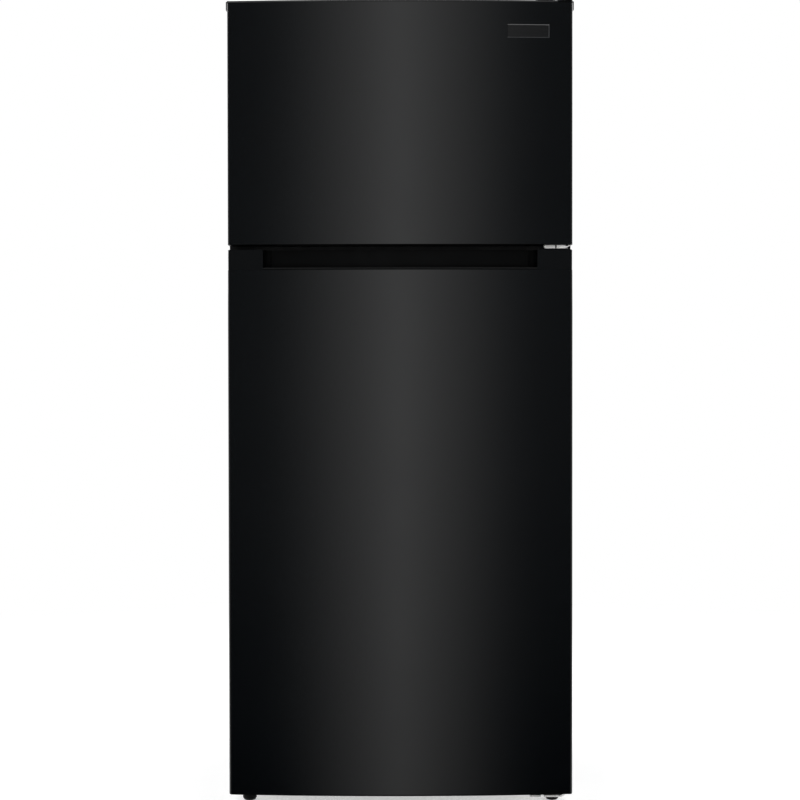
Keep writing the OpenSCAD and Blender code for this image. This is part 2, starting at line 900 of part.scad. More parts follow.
module shelf_glass() {
    color([0.75, 0.85, 0.83, 0.5]) {
        for (z = shelf_zs)
            shelf_pane(z, fridge_half - 3, shelf_front, shelf_rear);
        shelf_pane(crisper_z, fridge_half - 3, shelf_front, hump_y0 + 92);
    }
}

slide_x = -150;
slide_travel = 20;

module crisper_cover() {
    front = shelf_front;
    rear = hump_y0 + 92;
    rail_z = crisper_z - 36;
    color(white)
        difference() {
            union() {
                shelf_frame(crisper_z, fridge_half - 3, front, rear);
                // middle beam with the T rail that carries both drawers
                slab([-10.5, 10.5], [front + 4, rear], [crisper_z, crisper_z + 7]);
                slab([-2, 2], [drawer_y + 3, hump_y0 - 14], [rail_z - 4, crisper_z + 2]);
                slab([-11, 11], [drawer_y + 3, hump_y0 - 14], [rail_z - 4, rail_z]);
            }
            // groove of the humidity slide, with an undercut
            slab([slide_x - slide_travel - 12, slide_x + slide_travel + 12],
                 [front - cut, front + 3], [crisper_z + 0.5, crisper_z + 6.5]);
        }
}

module humidity_slide() {
    front = shelf_front;
    z = crisper_z;
    color(charcoal)
        difference() {
            union() {
                slab([slide_x - 11, slide_x + 11], [front + 0.2, front + 2.7], [z + 0.8, z + 6.2]);
                slab([slide_x - 8, slide_x + 8], [front - 2.5, front + 0.5], [z + 0.8, z + 6.2]);
            }
            for (x = [-5, -2.5, 0, 2.5, 5])
                slab([slide_x + x - 0.5, slide_x + x + 0.5], [front - 3, front - 1.8], [z, z + 7]);
        }
}

// One vegetable drawer, on the right-hand side of the middle rail
module crisper() {
    t = 2.4;
    x0 = 15;
    x1 = fridge_half - 14;
    y0 = drawer_y;
    y1 = hump_y0 - 14;
    z0 = fridge_floor + 4;
    rail = crisper_z - 36;
    top = rail + 3;
    front_top = crisper_z - 10;
    difference() {
        union() {
            along_x(x0, x1)
                polygon([[y0, z0 + 8], [y0 + 8, z0], [y1 - 30, z0], [y1, z0 + 60], [y1, top],
                         [y0, top]]);
            // hanging flanges
            slab([x0 - 11.5, x1 + 11], [y0, y1], [rail, top]);
            // front with its rolled pull
            slab([x0 - 8, x1 + 4], [y0 - 3, y0 + 1], [z0 - 1, front_top]);
            along_x(x0 + 40, x1 - 40)
                polygon([[y0 - 2, front_top - 30], [y0 - 8, front_top - 18], [y0 - 10, front_top - 4],
                         [y0 - 8, front_top], [y0, front_top], [y0, front_top - 30]]);
        }
        along_x(x0 + t, x1 - t)
            polygon([[y0 + 1.5, z0 + 10], [y0 + 9, z0 + t], [y1 - 31, z0 + t], [y1 - t, z0 + 61],
                     [y1 - t, top + cut], [y0 + 1.5, top + cut]]);
        // finger hollow behind the pull, open downwards
        along_x(x0 + 42, x1 - 42)
            polygon([[y0 - 1.5, front_top - 40], [y0 - 5.5, front_top - 18],
                     [y0 - 7.5, front_top - 6], [y0 - 6, front_top - 3], [y0 - 1.5, front_top - 3]]);
    }
}

module crisper_right() {
    color([0.85, 0.92, 0.93, 0.6])
        crisper();
}

module crisper_left() {
    color([0.85, 0.92, 0.93, 0.6])
        mirror([1, 0, 0])
            crisper();
}

knob_x = 105;
control_front = flange_y + 184;
control_z = fridge_ceiling - 44;

module control_housing() {
    t = 2.5;
    y1 = control_front + 190;
    color(white)
        difference() {
            union() {
                difference() {
                    along_x(-150, 150)
                        polygon([[control_front, fridge_ceiling], [control_front, control_z + 8],
                                 [control_front + 6, control_z], [y1 - 30, control_z],
                                 [y1, control_z + 26], [y1, fridge_ceiling]]);
                    along_x(-150 + t, 150 - t)
                        polygon([[control_front + t, fridge_ceiling + cut],
                                 [control_front + t, control_z + 9], [control_front + 7, control_z + t],
                                 [y1 - 31, control_z + t], [y1 - t, control_z + 27],
                                 [y1 - t, fridge_ceiling + cut]]);
                }
                translate([knob_x, control_front + 1, control_z + 24])
                    rotate([-90, 0, 0])
                        cylinder(r = 7, h = 14, $fn = 48);
            }
            translate([knob_x, control_front - cut, control_z + 24])
                rotate([-90, 0, 0])
                    cylinder(r = 3.06, h = 30, $fn = 48);
            slab([-62, 62], [control_front + 50, control_front + 130], [control_z - cut, control_z + 3]);
        }
}

module temperature_knob() {
    color(charcoal)
        translate([knob_x, control_front, control_z + 24])
            rotate([90, 0, 0]) {
                difference() {
                    rotate_extrude($fn = 96)
                        polygon([[0, 0.4], [18, 0.4], [18, 3], [16.5, 5], [16, 12], [14.5, 14],
                                 [0, 14]]);
                    for (a = [0:30:330])
                        rotate([0, 0, a])
                            translate([17.6, 0, 5.5])
                                cylinder(r = 2.4, h = 10, $fn = 24);
                }
                translate([0, 0, -13])
                    cylinder(r = 3, h = 14, $fn = 48);
                slab([-1.2, 1.2], [4, 15], [13, 15]);
            }
}

module lamp_lens() {
    y0 = control_front + 50;
    y1 = control_front + 130;
    z = control_z;
    color([0.95, 0.96, 0.94, 0.8])
        difference() {
            union() {
                along_x(-61.7, 61.7)
                    polygon([[y0 + 0.3, z + 3], [y0 + 0.3, z - 3], [y0 + 8, z - 9], [y1 - 8, z - 9],
                             [y1 - 0.3, z - 3], [y1 - 0.3, z + 3]]);
                // flange that rests on the housing's floor
                slab([-65, 65], [y0 - 3, y1 + 3], [z + 2.5, z + 4]);
            }
            along_x(-60, 60)
                polygon([[y0 + 2, z + 5], [y0 + 2, z - 2.3], [y0 + 9, z - 7.3], [y1 - 9, z - 7.3],
                         [y1 - 2, z - 2.3], [y1 - 2, z + 5]]);
        }
}

module air_duct() {
    y0 = cavity_rear - 21;
    z0 = 420;
    z1 = fridge_ceiling - 6;
    color(white)
        difference() {
            translate([0, 0, z0])
                linear_extrude(z1 - z0)
                    polygon([[-56, cavity_rear], [-48, y0 + 4], [-42, y0], [42, y0], [48, y0 + 4],
                             [56, cavity_rear]]);
            translate([0, 0, z0 + 2])
                linear_extrude(z1 - z0 - 4)
                    polygon([[-53, cavity_rear + cut], [-46, y0 + 5], [-41, y0 + 2], [41, y0 + 2],
                             [46, y0 + 5], [53, cavity_rear + cut]]);
            // a pair of outlets above each shelf
            for (z = [470, 690, 800, 930, 1040])
                for (k = [0:2])
                    slab([-28, 28], [y0 - cut, y0 + 3], [z + 9 * k, z + 5 + 9 * k]);
        }
}

evap_fan_z = 1525;
evap_y = panel_y + 24;

module evaporator_cover() {
    half = freezer_half;
    t = 2.5;
    color(white) {
        difference() {
            union() {
                along_y(panel_y, panel_y + t)
                    round_rect(half, freezer_floor, freezer_ceiling, cavity_r);
                // raised field
                along_y(panel_y - 7, panel_y + t)
                    round_rect(half - 40, freezer_floor + 60, freezer_ceiling - 28, 22);
            }
            along_y(panel_y - 5, panel_y + t + cut)
                round_rect(half - 42, freezer_floor + 62, freezer_ceiling - 30, 20);
            translate([0, panel_y - 8, evap_fan_z])
                rotate([-90, 0, 0])
                    cylinder(r = 52, h = 6, $fn = 96);
            // return-air slots along the bottom
            for (i = [-9:9])
                slab([i * 26 - 9, i * 26 + 9], [panel_y - cut, panel_y + t + cut],
                     [freezer_floor + 16, freezer_floor + 44]);
            slab([150 - 24, 150 + 24], [panel_y - 8, panel_y - 4],
                 [freezer_ceiling - 100, freezer_ceiling - 94]);
        }
        // fan grille: rings on six spokes
        translate([0, panel_y - 5, evap_fan_z])
            rotate([90, 0, 0]) {
                for (r = [14, 24, 34, 44])
                    rotate_extrude($fn = 96)
                        translate([r, 0])
                            square([3, 2]);
                cylinder(r = 9, h = 2.2, $fn = 64);
                for (a = [0:60:300])
                    rotate([0, 0, a])
                        slab([8, 53], [-1.5, 1.5], [0.3, 1.7]);
            }
    }
}

module evaporator_coil() {
    color([0.8, 0.81, 0.83]) {
        for (y = [evap_y - 9, evap_y + 9])
            serpentine(-205, 205, y, freezer_floor + 42, 26, 6, 4);
        for (i = [0:16])
            slab([-176 + 22 * i, -175.2 + 22 * i], [evap_y - 18, evap_y + 18],
                 [freezer_floor + 32, freezer_floor + 182]);
        // defrost heater below the fins
        bar([-213, evap_y, freezer_floor + 22], [213, evap_y, freezer_floor + 22], 5);
    }
    // hangers on the rear wall
    color(steel)
        for (x = [-214, 212])
            slab([x, x + 2], [evap_y - 16, freezer_rear], [freezer_floor + 12, freezer_floor + 176]);
}

module evaporator_fan() {
    color(black)
        translate([0, freezer_rear, evap_fan_z])
            rotate([90, 0, 0]) {
                cylinder(r = 19, h = 24, $fn = 64);
                slab([-60, 60], [-8, 8], [0, 4]);
                cylinder(r = 1.5, h = 36, $fn = 32);
            }
}

module evaporator_fan_blade() {
    color(white)
        translate([0, freezer_rear - 26, evap_fan_z])
            rotate([90, 0, 0])
                fan_wheel(46, 14, 12);
}

module freezer_control() {
    z = freezer_ceiling - 97;
    color(charcoal)
        difference() {
            union() {
                slab([150 - 11, 150 + 11], [panel_y - 13, panel_y - 7.3], [z - 7, z + 7]);
                slab([150 - 5, 150 + 5], [panel_y - 8, panel_y - 3], [z - 2.6, z + 2.6]);
                slab([150 - 8, 150 + 8], [panel_y - 4.6, panel_y - 2.6], [z - 5, z + 5]);
            }
            for (x = [-6, -3, 0, 3, 6])
                slab([150 + x - 0.6, 150 + x + 0.6], [panel_y - 14, panel_y - 12], [z - 8, z + 8]);
        }
}

// Wire shelf: frame wires, close cross wires laid on them, and a raised guard wire
module freezer_shelf() {
    half = freezer_half - 5;
    front = flange_y + 96;
    rear = panel_y - 16;
    z = freezer_shelf_z + 3.5;
    n = 20;
    color(white) {
        for (y = [front, (front + rear) / 2, rear])
            bar([-half, y, z], [half, y, z], 3.5);
        for (i = [0:n])
            bar([(half - 8) * (2 * i / n - 1), front - 6, z + 4.3],
                [(half - 8) * (2 * i / n - 1), rear + 6, z + 4.3], 1.9);
        // second front wire below the first, on ties
        bar([-half + 12, front - 2, z - 8], [half - 12, front - 2, z - 8], 2.5);
        for (i = [0:4])
            bar([(half - 20) * (i / 2 - 1), front - 1, z - 8], [(half - 20) * (i / 2 - 1), front - 1, z],
                2);
    }
}

// ---------------------------------------------------------------- doors

// Plan of a door with a bowed front, shrunk by g on all sides
module door_plan(g = 0) {
    r = door_corner_r - g;
    half = door_w / 2 - g;
    lean = asin((half - r) / (bow_r - g - r));
    // a touch outside the bow, so that the last chord of the corner crosses it
    c = [half - r, bow_y - (bow_r - g - r + 0.02) * cos(lean)];
    right = arc(c, r, 0, lean - 90);
    left = [for (i = [6:-1:0]) [-right[i][0], right[i][1]]];
    back = door_back_y - g;
    intersection() {
        translate([0, bow_y])
            circle(r = bow_r - g, $fn = 1440);
        polygon(concat(
            [[half, back]], right,
            [[right[6][0], front_y - 9], [-right[6][0], front_y - 9]],
            left, [[-half, back]]));
    }
}

module door_slab(g, z0, z1) {
    translate([0, 0, z0])
        linear_extrude(z1 - z0)
            door_plan(g);
}

// The room that a door's inner liner takes out of the pieces in front of it
module liner_room(z0, z1) {
    slab([-door_liner_half, door_liner_half],
         [door_back_y - door_liner_t, door_back_y + cut], [z0, z1]);
}

// Steel skin: front, sides and two return flanges at the back
module door_skin(z0, z1) {
    difference() {
        door_slab(0, z0, z1);
        door_slab(sheet, z0 - cut, z1 + cut);
        slab([-door_liner_half, door_liner_half], [door_back_y - 5, door_back_y + cut],
             [z0 - cut, z1 + cut]);
    }
}

// A ring section swept along the bow between two angles either side of the middle
module bowed_sweep(half) {
    angle = 2 * asin(half / bow_r);
    translate([0, bow_y, 0])
        rotate_extrude(angle = angle, start = 270 - angle / 2, $fn = 1440)
            children();
}

// Dyke of a door liner: a raised frame that reaches into the cabinet
module dyke(half, z0, z1, g) {
    y = door_back_y + dyke_h - g;
    along_y(door_back_y - door_liner_t - (g > 0 ? cut : 0), y)
        difference() {
            round_rect(half - g, z0 + g, z1 - g, 22 - g);
            round_rect(half - dyke_w + g, z0 + dyke_w - g, z1 - dyke_w + g, 10 + g);
        }
}

// Vacuum-formed door liner with its dyke and the lugs that hold the bins
module door_liner(z0, z1, half, dz0, dz1, bins, gap = 0) {
    difference() {
        union() {
            slab([-door_liner_half, door_liner_half], [door_back_y - door_liner_t, door_back_y],
                 [z0, z1]);
            dyke(half, dz0, dz1, 0);
            // pressed field between the dykes
            along_y(door_back_y - cut, door_back_y + 1.5)
                round_rect(half - dyke_w - 26, dz0 + dyke_w + 26, dz1 - dyke_w - 26, 14);
        }
        dyke(half, dz0, dz1, liner_t);
        // parting of a dyke made as a frame of its own
        if (gap > 0)
            along_y(door_back_y, door_back_y + gap)
                round_ring(half + 1, dz0 - 1, dz1 + 1, 23, dyke_w + 4);
    }
    for (z = bins)
        both_sides()
            along_y(door_back_y + (gap > 0 ? gap : -0.5), door_back_y + dyke_h - 4)
                polygon([[half - dyke_w + 0.5, z - 14], [half - dyke_w + 0.5, z],
                         [half - dyke_w - 5.5, z], [half - dyke_w - 5.5, z - 7]]);
}

// Foam between skin, caps and liner, filling the dyke
module door_foam(z0, z1, half, dz0, dz1) {
    difference() {
        door_slab(sheet + 0.05, z0, z1);
        slab([-door_w, door_w], [door_back_y - door_liner_t, door_back_y + 50], [z0 - cut, z1 + cut]);
    }
    intersection() {
        dyke(half, dz0, dz1, liner_t + 0.05);
        slab([-door_w, door_w], [door_back_y - door_liner_t, door_back_y + 50], [dz0, dz1]);
    }
}

// Magnetic gasket: base, bellows and magnet bead
module door_gasket(z0, z1) {
    steps = [[0, 0, gasket_w], [3, 2.5, gasket_w - 5], [5, 1.2, gasket_w - 2.4],
             [6, 2.5, gasket_w - 5], [8, 0, gasket_w], [gasket_t, 0, 0]];
    for (i = [0:4])
        along_y(door_back_y + steps[i][0], door_back_y + steps[i + 1][0])
            round_ring(gasket_half - steps[i][1], z0 + steps[i][1], z1 - steps[i][1],
                       8 - steps[i][1], steps[i][2]);
}

// Lift-out bin hung on the lugs at height z
module door_bin(half, low, z) {
    outer = half - dyke_w - 6.3;
    back = door_back_y + 2;
    front = bin_front_y;
    difference() {
        union() {
            along_x(-outer, outer)
                polygon([[back, low + 4], [back + 4, low], [front - 14, low], [front - 8, low + 5],
                         [front, z - 4], [front, z + 8], [back + 30, z + 8], [back, z + 8]]);
            slab([-outer - 5.5, outer + 5.5], [back + 2, back + 24], [z, z + 4]);
            // rolled front rim
            along_x(-outer, outer)
                polygon([[front - 5, z + 3], [front, z + 1], [front, z + 9], [front - 1.5, z + 10.5],
                         [front - 4, z + 10.5], [front - 6, z + 9]]);
        }
        along_x(-outer + bin_wall, outer - bin_wall)
            polygon([[back + bin_wall, low + 5], [back + 5, low + bin_wall],
                     [front - 15, low + bin_wall], [front - 10, low + 6],
                     [front - bin_wall, z - 3], [front - bin_wall, z + 12],
                     [back + bin_wall, z + 12]]);
        // low back edge
        slab([-outer + 40, outer - 40], [back - cut, back + 3], [z - 20, z + 12]);
    }
}

// Upper door

upper_dyke = [upper_z + 54, upper_top - 62];
upper_half = freezer_half - 15;
upper_liner = [upper_z + 14, upper_top - 14];
upper_bins = [upper_z + 150, upper_z + 350];

module freezer_door_skin() {
    color(black)
        door_skin(upper_z + hem, upper_top - top_rim);
}

module freezer_door_top_cap() {
    color(black)
        difference() {
            union() {
                door_slab(0, upper_top - top_rim, upper_top);
                door_slab(sheet + 0.1, upper_top - plug_h, upper_top - 1);
                // corner ears lapped over the skin
                both_sides()
                    along_y(edge_y + 9, door_back_y - 8)
                        translate([door_w / 2, upper_top])
                            polygon([[-3, -1], [0, -1], [0, -21], [ear, -17], [ear, -1],
                                     [ear - 1, 0], [-3, 0]]);
            }
            // bevel along the front, up to the pad under the hinge
            intersection() {
                bowed_sweep(door_w / 2)
                    translate([bow_r, upper_top])
                        polygon([[1, 1], [1, 0.8 - top_rim], [0, 0.8 - top_rim], [-3.2, 0.1],
                                 [-3.2, 1]]);
                slab([-door_w / 2 + 3, 323], [front_y - 1, door_back_y], [upper_z, upper_top + 2]);
            }
            liner_room(0, upper_liner[1]);
            translate([pin_x, pin_y, upper_top - plug_h + 3])
                cylinder(r = bore_r, h = plug_h, $fn = 64);
            // hollow between the cap's walls
            for (x = [-300, -196, -92, 12, 116])
                slab([x, x + 96], [edge_y + 8, door_back_y - 8],
                     [upper_top - plug_h - cut, upper_top - 4]);
        }
}

module freezer_door_bottom_cap() {
    z1 = upper_z + 30;
    color(black)
        difference() {
            union() {
                door_slab(0.3, upper_z, upper_z + hem);
                door_slab(sheet + 0.1, upper_z + 0.2, z1);
            }
            liner_room(upper_liner[0], cab_top);
            translate([pin_x, pin_y, upper_z - cut])
                cylinder(r = bore_r, h = 24, $fn = 64);
            // grip channel on the underside
            intersection() {
                bowed_sweep(pocket_half - 20)
                    translate([bow_r, upper_z])
                        polygon([[-10, -cut], [-11, 2], [-12, 20], [-15, 24], [-32, 24],
                                 [-36, 19], [-38, -cut]]);
                slab([-pocket_half + 24, pocket_half - 24], [front_y, door_back_y],
                     [upper_z - cut, z1]);
            }
        }
}

module freezer_door_liner() {
    color(white)
        door_liner(upper_liner[0], upper_liner[1], upper_half, upper_dyke[0], upper_dyke[1],
                   upper_bins);
}

module freezer_door_foam() {
    color([0.85, 0.78, 0.55])
        door_foam(upper_z + 30, upper_top - plug_h, upper_half, upper_dyke[0], upper_dyke[1]);
}

module freezer_door_gasket() {
    color(charcoal)
        door_gasket(upper_z + 18, upper_top - 18);
}

module freezer_door_bins() {
    color(white)
        for (z = upper_bins)
            door_bin(upper_half, z - 74, z);
}

// Blank plate that follows the door's bow
module name_plate() {
    x = [220, 305.5];
    z = [upper_top - 77.5, upper_top - 50];
    color(charcoal)
        intersection() {
            translate([0, bow_y, 0])
                rotate_extrude(angle = 4, start = 272, $fn = 1440)
                    polygon([[bow_r, z[0]], [bow_r + 0.9, z[0]], [bow_r + 1.8, z[0] + 1.6],
                             [bow_r + 1.8, z[1] - 1.6], [bow_r + 0.9, z[1]], [bow_r, z[1]]]);
            slab(x, [front_y - 5, edge_y + 5], [z[0] - cut, z[1] + cut]);
        }
}

// Lower door

lower_dyke = [lower_z + 92, lower_top - 58];
lower_half = fridge_half - 15;
lower_liner = [lower_z + 14, lower_top - 14];
lower_bins = [lower_z + 262, lower_z + 560, lower_z + 800];
dairy_z = lower_top - 160;
lid_y = door_back_y + 74;
lid_z = dairy_z + 84;
dairy_half = lower_half - dyke_w - 6.3;

module fridge_door_skin() {
    color(black)
        door_skin(lower_z + rim_t, seam_z);
}

// Moulded cap with the full-width handle pocket, its pull lip and finger groove
module fridge_door_handle_cap() {
    lip_z = seam_z + 6;
    groove = -groove_depth;
    color(black)
        difference() {
            union() {
                door_slab(handle_cap_inset, seam_z, lower_top - 1);
                door_slab(handle_cap_inset + 1, lower_top - 1.2, lower_top);
                door_slab(sheet + 0.1, handle_plug_z, seam_z + 1);
            }
            // pocket above the lip, with a rounded lip edge and round groove
            intersection() {
                bowed_sweep(pocket_half + 10)
                    translate([bow_r, lip_z])
                        polygon([[9, -5], [-0.7, -5], [-1.2, -3.2], [-2.3, -1.5], [-3.9, -0.4],
                                 [-5.5, 0], [2.6 - lip_t, -0.4], [0.8 - lip_t, -2], [-lip_t, -5],
                                 [-lip_t, groove + 6], [-lip_t - 2, groove + 2],
                                 [-lip_t - 6, groove], [8 - pocket_depth, groove],
                                 [3 - pocket_depth, groove + 2], [1 - pocket_depth, groove + 7],
                                 [-pocket_depth, cap_face], [9, cap_face]]);
                translate([0, 0, lip_z + groove - cut])
                    linear_extrude(lower_top)
                        polygon(concat(
                            [[pocket_half, front_y - 5]],
                            arc([pocket_half - 20, edge_y + 11], 20, 0, 78),
                            [[pocket_half - 22, door_back_y]], [[-pocket_half + 22, door_back_y]],
                            arc([-pocket_half + 20, edge_y + 11], 20, 102, 180),
                            [[-pocket_half, front_y - 5]]));
            }
            liner_room(0, lower_liner[1]);
            translate([pin_x, pin_y, lower_top - 23])
                cylinder(r = bore_r, h = 30, $fn = 64);
            // cored-out underside between stiffening ribs
            for (x = [-270:60:210])
                slab([x + 2, x + 58], [edge_y + 38, door_back_y - 8],
                     [handle_plug_z - cut, lower_top - 5]);
        }
}

module fridge_door_bottom_cap() {
    color(black)
        difference() {
            union() {
                door_slab(1.6, lower_z, lower_z + 1);
                door_slab(0.3, lower_z + 1, lower_z + rim_t);
                door_slab(sheet + 0.1, lower_z + 1, lower_z + plug_h);
            }
            liner_room(lower_liner[0], cab_top);
            translate([pin_x, pin_y, lower_z - cut])
                cylinder(r = bore_r, h = 22, $fn = 64);
            // hollow between the cap's walls
            for (x = [-300, -196, -92, 12, 116])
                slab([x, x + 96], [edge_y + 8, door_back_y - 8], [lower_z + 5, lower_z + plug_h + cut]);
        }
}

module fridge_door_liner() {
    color(white)
        door_liner(lower_liner[0], lower_liner[1], lower_half, lower_dyke[0], lower_dyke[1],
                   concat(lower_bins, [dairy_z + 70]), 0.05);
}

module fridge_door_foam() {
    color([0.85, 0.78, 0.55])
        door_foam(lower_z + plug_h, handle_plug_z, lower_half, lower_dyke[0], lower_dyke[1]);
}

module fridge_door_gasket() {
    color(charcoal)
        door_gasket(lower_z + 20, lower_top - 20);
}

// Dairy box with cheeks that carry the lid's pins
module dairy_box() {
    back = door_back_y + 2;
    front = lid_y + 4;
    z1 = dairy_z + 85;
    difference() {
        union() {
            along_x(-dairy_half, dairy_half)
                polygon([[back, dairy_z + 4], [back + 4, dairy_z], [front - 6, dairy_z],
                         [front, dairy_z + 6], [front, dairy_z + 18], [lid_y + 1, dairy_z + 20],
                         [lid_y + 5, lid_z - 5], [lid_y + 5, lid_z + 5], [lid_y - 8, z1], [back, z1]]);
            slab([-dairy_half - 5.5, dairy_half + 5.5], [back + 2, back + 24],
                 [dairy_z + 70, dairy_z + 74]);
        }
        along_x(-dairy_half + 6, dairy_half - 6)
            polygon([[back + bin_wall, dairy_z + 5], [back + 5, dairy_z + bin_wall],
                     [front - 7, dairy_z + bin_wall], [front - bin_wall, dairy_z + 7],
                     [front - bin_wall, dairy_z + 19], [front + 9, dairy_z + 19],
                     [front + 9, z1 + 5], [lid_y - 12, z1 + 5], [lid_y - 12, z1 - bin_wall],
                     [back + bin_wall, z1 - bin_wall]]);
        both_sides()
            translate([dairy_half - 7, lid_y, lid_z])
                rotate([0, 90, 0])
                    cylinder(r = 2.56, h = 6, $fn = 48);
    }
}

module fridge_door_bins() {
    color(white) {
        for (i = [0:2])
            door_bin(lower_half, lower_bins[i] - [112, 92, 92][i], lower_bins[i]);
        dairy_box();
    }
}

module dairy_lid() {
    half = dairy_half - 6.4;
    face = lid_y + 4;
    color([0.85, 0.92, 0.93, 0.6]) {
        // curved flap with a lifting edge
        along_x(-half, half)
            polygon([[face - 1, dairy_z + 21], [face + 4, dairy_z + 21], [face + 4.5, dairy_z + 23.5],
                     [face + 2.6, dairy_z + 25], [face + 4.2, dairy_z + 45],
                     [face + 3.6, dairy_z + 66], [face + 1.5, lid_z], [face - 1, lid_z + 5.5],
                     [face - 3, lid_z + 5.5], [face - 1.2, lid_z], [face + 1.2, dairy_z + 66],
                     [face + 1.8, dairy_z + 45], [face + 0.4, dairy_z + 25]]);
        both_sides() {
            // hinge arm and pin
            along_x(half - 3, half)
                polygon([[face + 2, lid_z - 14], [lid_y - 3, lid_z - 3], [lid_y - 3.5, lid_z + 2],
                         [lid_y, lid_z + 4.5], [face - 1, lid_z + 5.5], [face + 1.4, lid_z]]);
            translate([half - 2, lid_y, lid_z])
                rotate([0, 90, 0])
                    cylinder(r = 2.5, h = 7, $fn = 48);
        }
    }
}

cabinet_shell();
back_panel();
base_frame();
insulation();
mullion_rail();
fridge_liner();
freezer_liner();
top_hinge();
top_hinge_cover();
middle_hinge();
bottom_hinge();
hinge_screws();
hinge_hole_plugs();
compressor();
compressor_mounts();
relay_cover();
condenser_coil();
condenser_fan();
condenser_fan_blade();
drain_pan();
refrigerant_tubes();
rear_cover();
cord_gland();
roller_left();
roller_right();
foot_left();
foot_right();
shelf_frames();
shelf_glass();
crisper_cover();
crisper_left();
crisper_right();
humidity_slide();
control_housing();
temperature_knob();
lamp_lens();
air_duct();
evaporator_cover();
evaporator_coil();
evaporator_fan();
evaporator_fan_blade();
freezer_control();
freezer_shelf();
freezer_door_skin();
freezer_door_top_cap();
freezer_door_bottom_cap();
freezer_door_liner();
freezer_door_foam();
freezer_door_gasket();
freezer_door_bins();
name_plate();
fridge_door_skin();
fridge_door_handle_cap();
fridge_door_bottom_cap();
fridge_door_liner();
fridge_door_foam();
fridge_door_gasket();
fridge_door_bins();
dairy_lid();
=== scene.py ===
"""Looks of a top-freezer refrigerator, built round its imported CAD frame."""

import math

import bmesh
import bpy
from mathutils import Matrix, Vector


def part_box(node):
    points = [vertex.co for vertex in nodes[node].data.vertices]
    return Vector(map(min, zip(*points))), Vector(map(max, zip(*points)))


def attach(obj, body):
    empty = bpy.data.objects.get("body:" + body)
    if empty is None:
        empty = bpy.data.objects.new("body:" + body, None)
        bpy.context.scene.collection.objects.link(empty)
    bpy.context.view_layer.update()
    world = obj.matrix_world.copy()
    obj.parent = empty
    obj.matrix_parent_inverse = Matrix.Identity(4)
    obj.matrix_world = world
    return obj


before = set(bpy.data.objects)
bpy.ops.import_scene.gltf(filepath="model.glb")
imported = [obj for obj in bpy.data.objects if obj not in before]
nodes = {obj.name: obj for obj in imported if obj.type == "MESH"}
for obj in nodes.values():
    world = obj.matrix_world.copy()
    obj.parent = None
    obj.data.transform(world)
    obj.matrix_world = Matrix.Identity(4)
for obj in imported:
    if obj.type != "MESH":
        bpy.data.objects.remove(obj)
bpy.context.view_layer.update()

MM = 0.001
scene = bpy.context.scene


# ------------------------------------------------------------------ node helpers


class Graph:
    """A node tree with short calls for adding and linking nodes."""

    def __init__(self, tree):
        self.tree = tree
        tree.nodes.clear()

    def add(self, kind, props=None, **inputs):
        node = self.tree.nodes.new(kind)
        for key, value in (props or {}).items():
            setattr(node, key, value)
        for key, value in inputs.items():
            self.feed(node.inputs[key.replace("_", " ")], value)
        return node

    def feed(self, socket, value):
        if isinstance(value, bpy.types.NodeSocket):
            self.tree.links.new(value, socket)
        else:
            socket.default_value = value

    def math(self, operation, a, b=0.0, c=0.0):
        node = self.add("ShaderNodeMath", {"operation": operation})
        for socket, value in zip(node.inputs, (a, b, c)):
            self.feed(socket, value)
        return node.outputs[0]

    def remap(self, value, low, high, to_low, to_high, smooth=False):
        node = self.add(
            "ShaderNodeMapRange",
            {"interpolation_type": "SMOOTHSTEP" if smooth else "LINEAR"},
            Value=value,
        )
        for key, number in (
            ("From Min", low),
            ("From Max", high),
            ("To Min", to_low),
            ("To Max", to_high),
        ):
            node.inputs[key].default_value = number
        return node.outputs[0]

    def mix(self, factor, a, b):
        node = self.add("ShaderNodeMix", {"data_type": "RGBA"})
        self.feed(node.inputs["Factor"], factor)
        for name, value in (("A", a), ("B", b)):
            socket = next(
                s for s in node.inputs if s.name == name and s.type == "RGBA"
            )
            self.feed(socket, value)
        return next(s for s in node.outputs if s.type == "RGBA")

    def noise(self, where, scale, detail):
        node = self.add("ShaderNodeTexNoise", Vector=where, Scale=scale, Detail=detail)
        return node.outputs[0]

    def grey(self, value):
        return self.add("ShaderNodeCombineXYZ", X=value, Y=value, Z=value).outputs[0]

    def vector(self, operation, a, b):
        node = self.add("ShaderNodeVectorMath", {"operation": operation})
        for socket, value in zip(node.inputs, (a, b)):
            self.feed(socket, value)
        return node.outputs[0]

    def blend(self, factor, a, b):
        """A shader node that is a at a factor of 0 and b at 1."""
        node = self.add("ShaderNodeMixShader", Fac=factor)
        for socket, shader in zip(list(node.inputs)[1:], (a, b)):
            self.feed(socket, shader.outputs[0])
        return node

    def direct(self, path):
        """1 for what the camera sees straight on or through glass."""
        return self.math(
            "MAXIMUM",
            path.outputs["Is Camera Ray"],
            path.outputs["Is Transmission Ray"],
        )


def shade(colour, factor):
    """The colour made lighter or darker, with an alpha of 1."""
    return tuple(min(1.0, c * factor) for c in colour[:3]) + (1.0,)


def in_box(g, where, low, high, soft):
    """1 inside the box between two corners, with edges soft metres wide.

    A corner's value is None where the box is open on that side.
    """
    axes = g.add("ShaderNodeSeparateXYZ", Vector=where).outputs
    inside = None
    for axis, bottom, top in zip(axes, low, high):
        for edge, fade in ((bottom, soft), (top, -soft)):
            if edge is None:
                continue
            test = g.remap(axis, edge - fade, edge + fade, 0.0, 1.0, smooth=True)
            inside = g.math("MULTIPLY", inside, test) if inside else test
    return inside


NOISE_SPAN = (0.3, 0.7)  # a pattern goes from its one end to the other between these
PEBBLE_SMOOTHNESS = 0.6


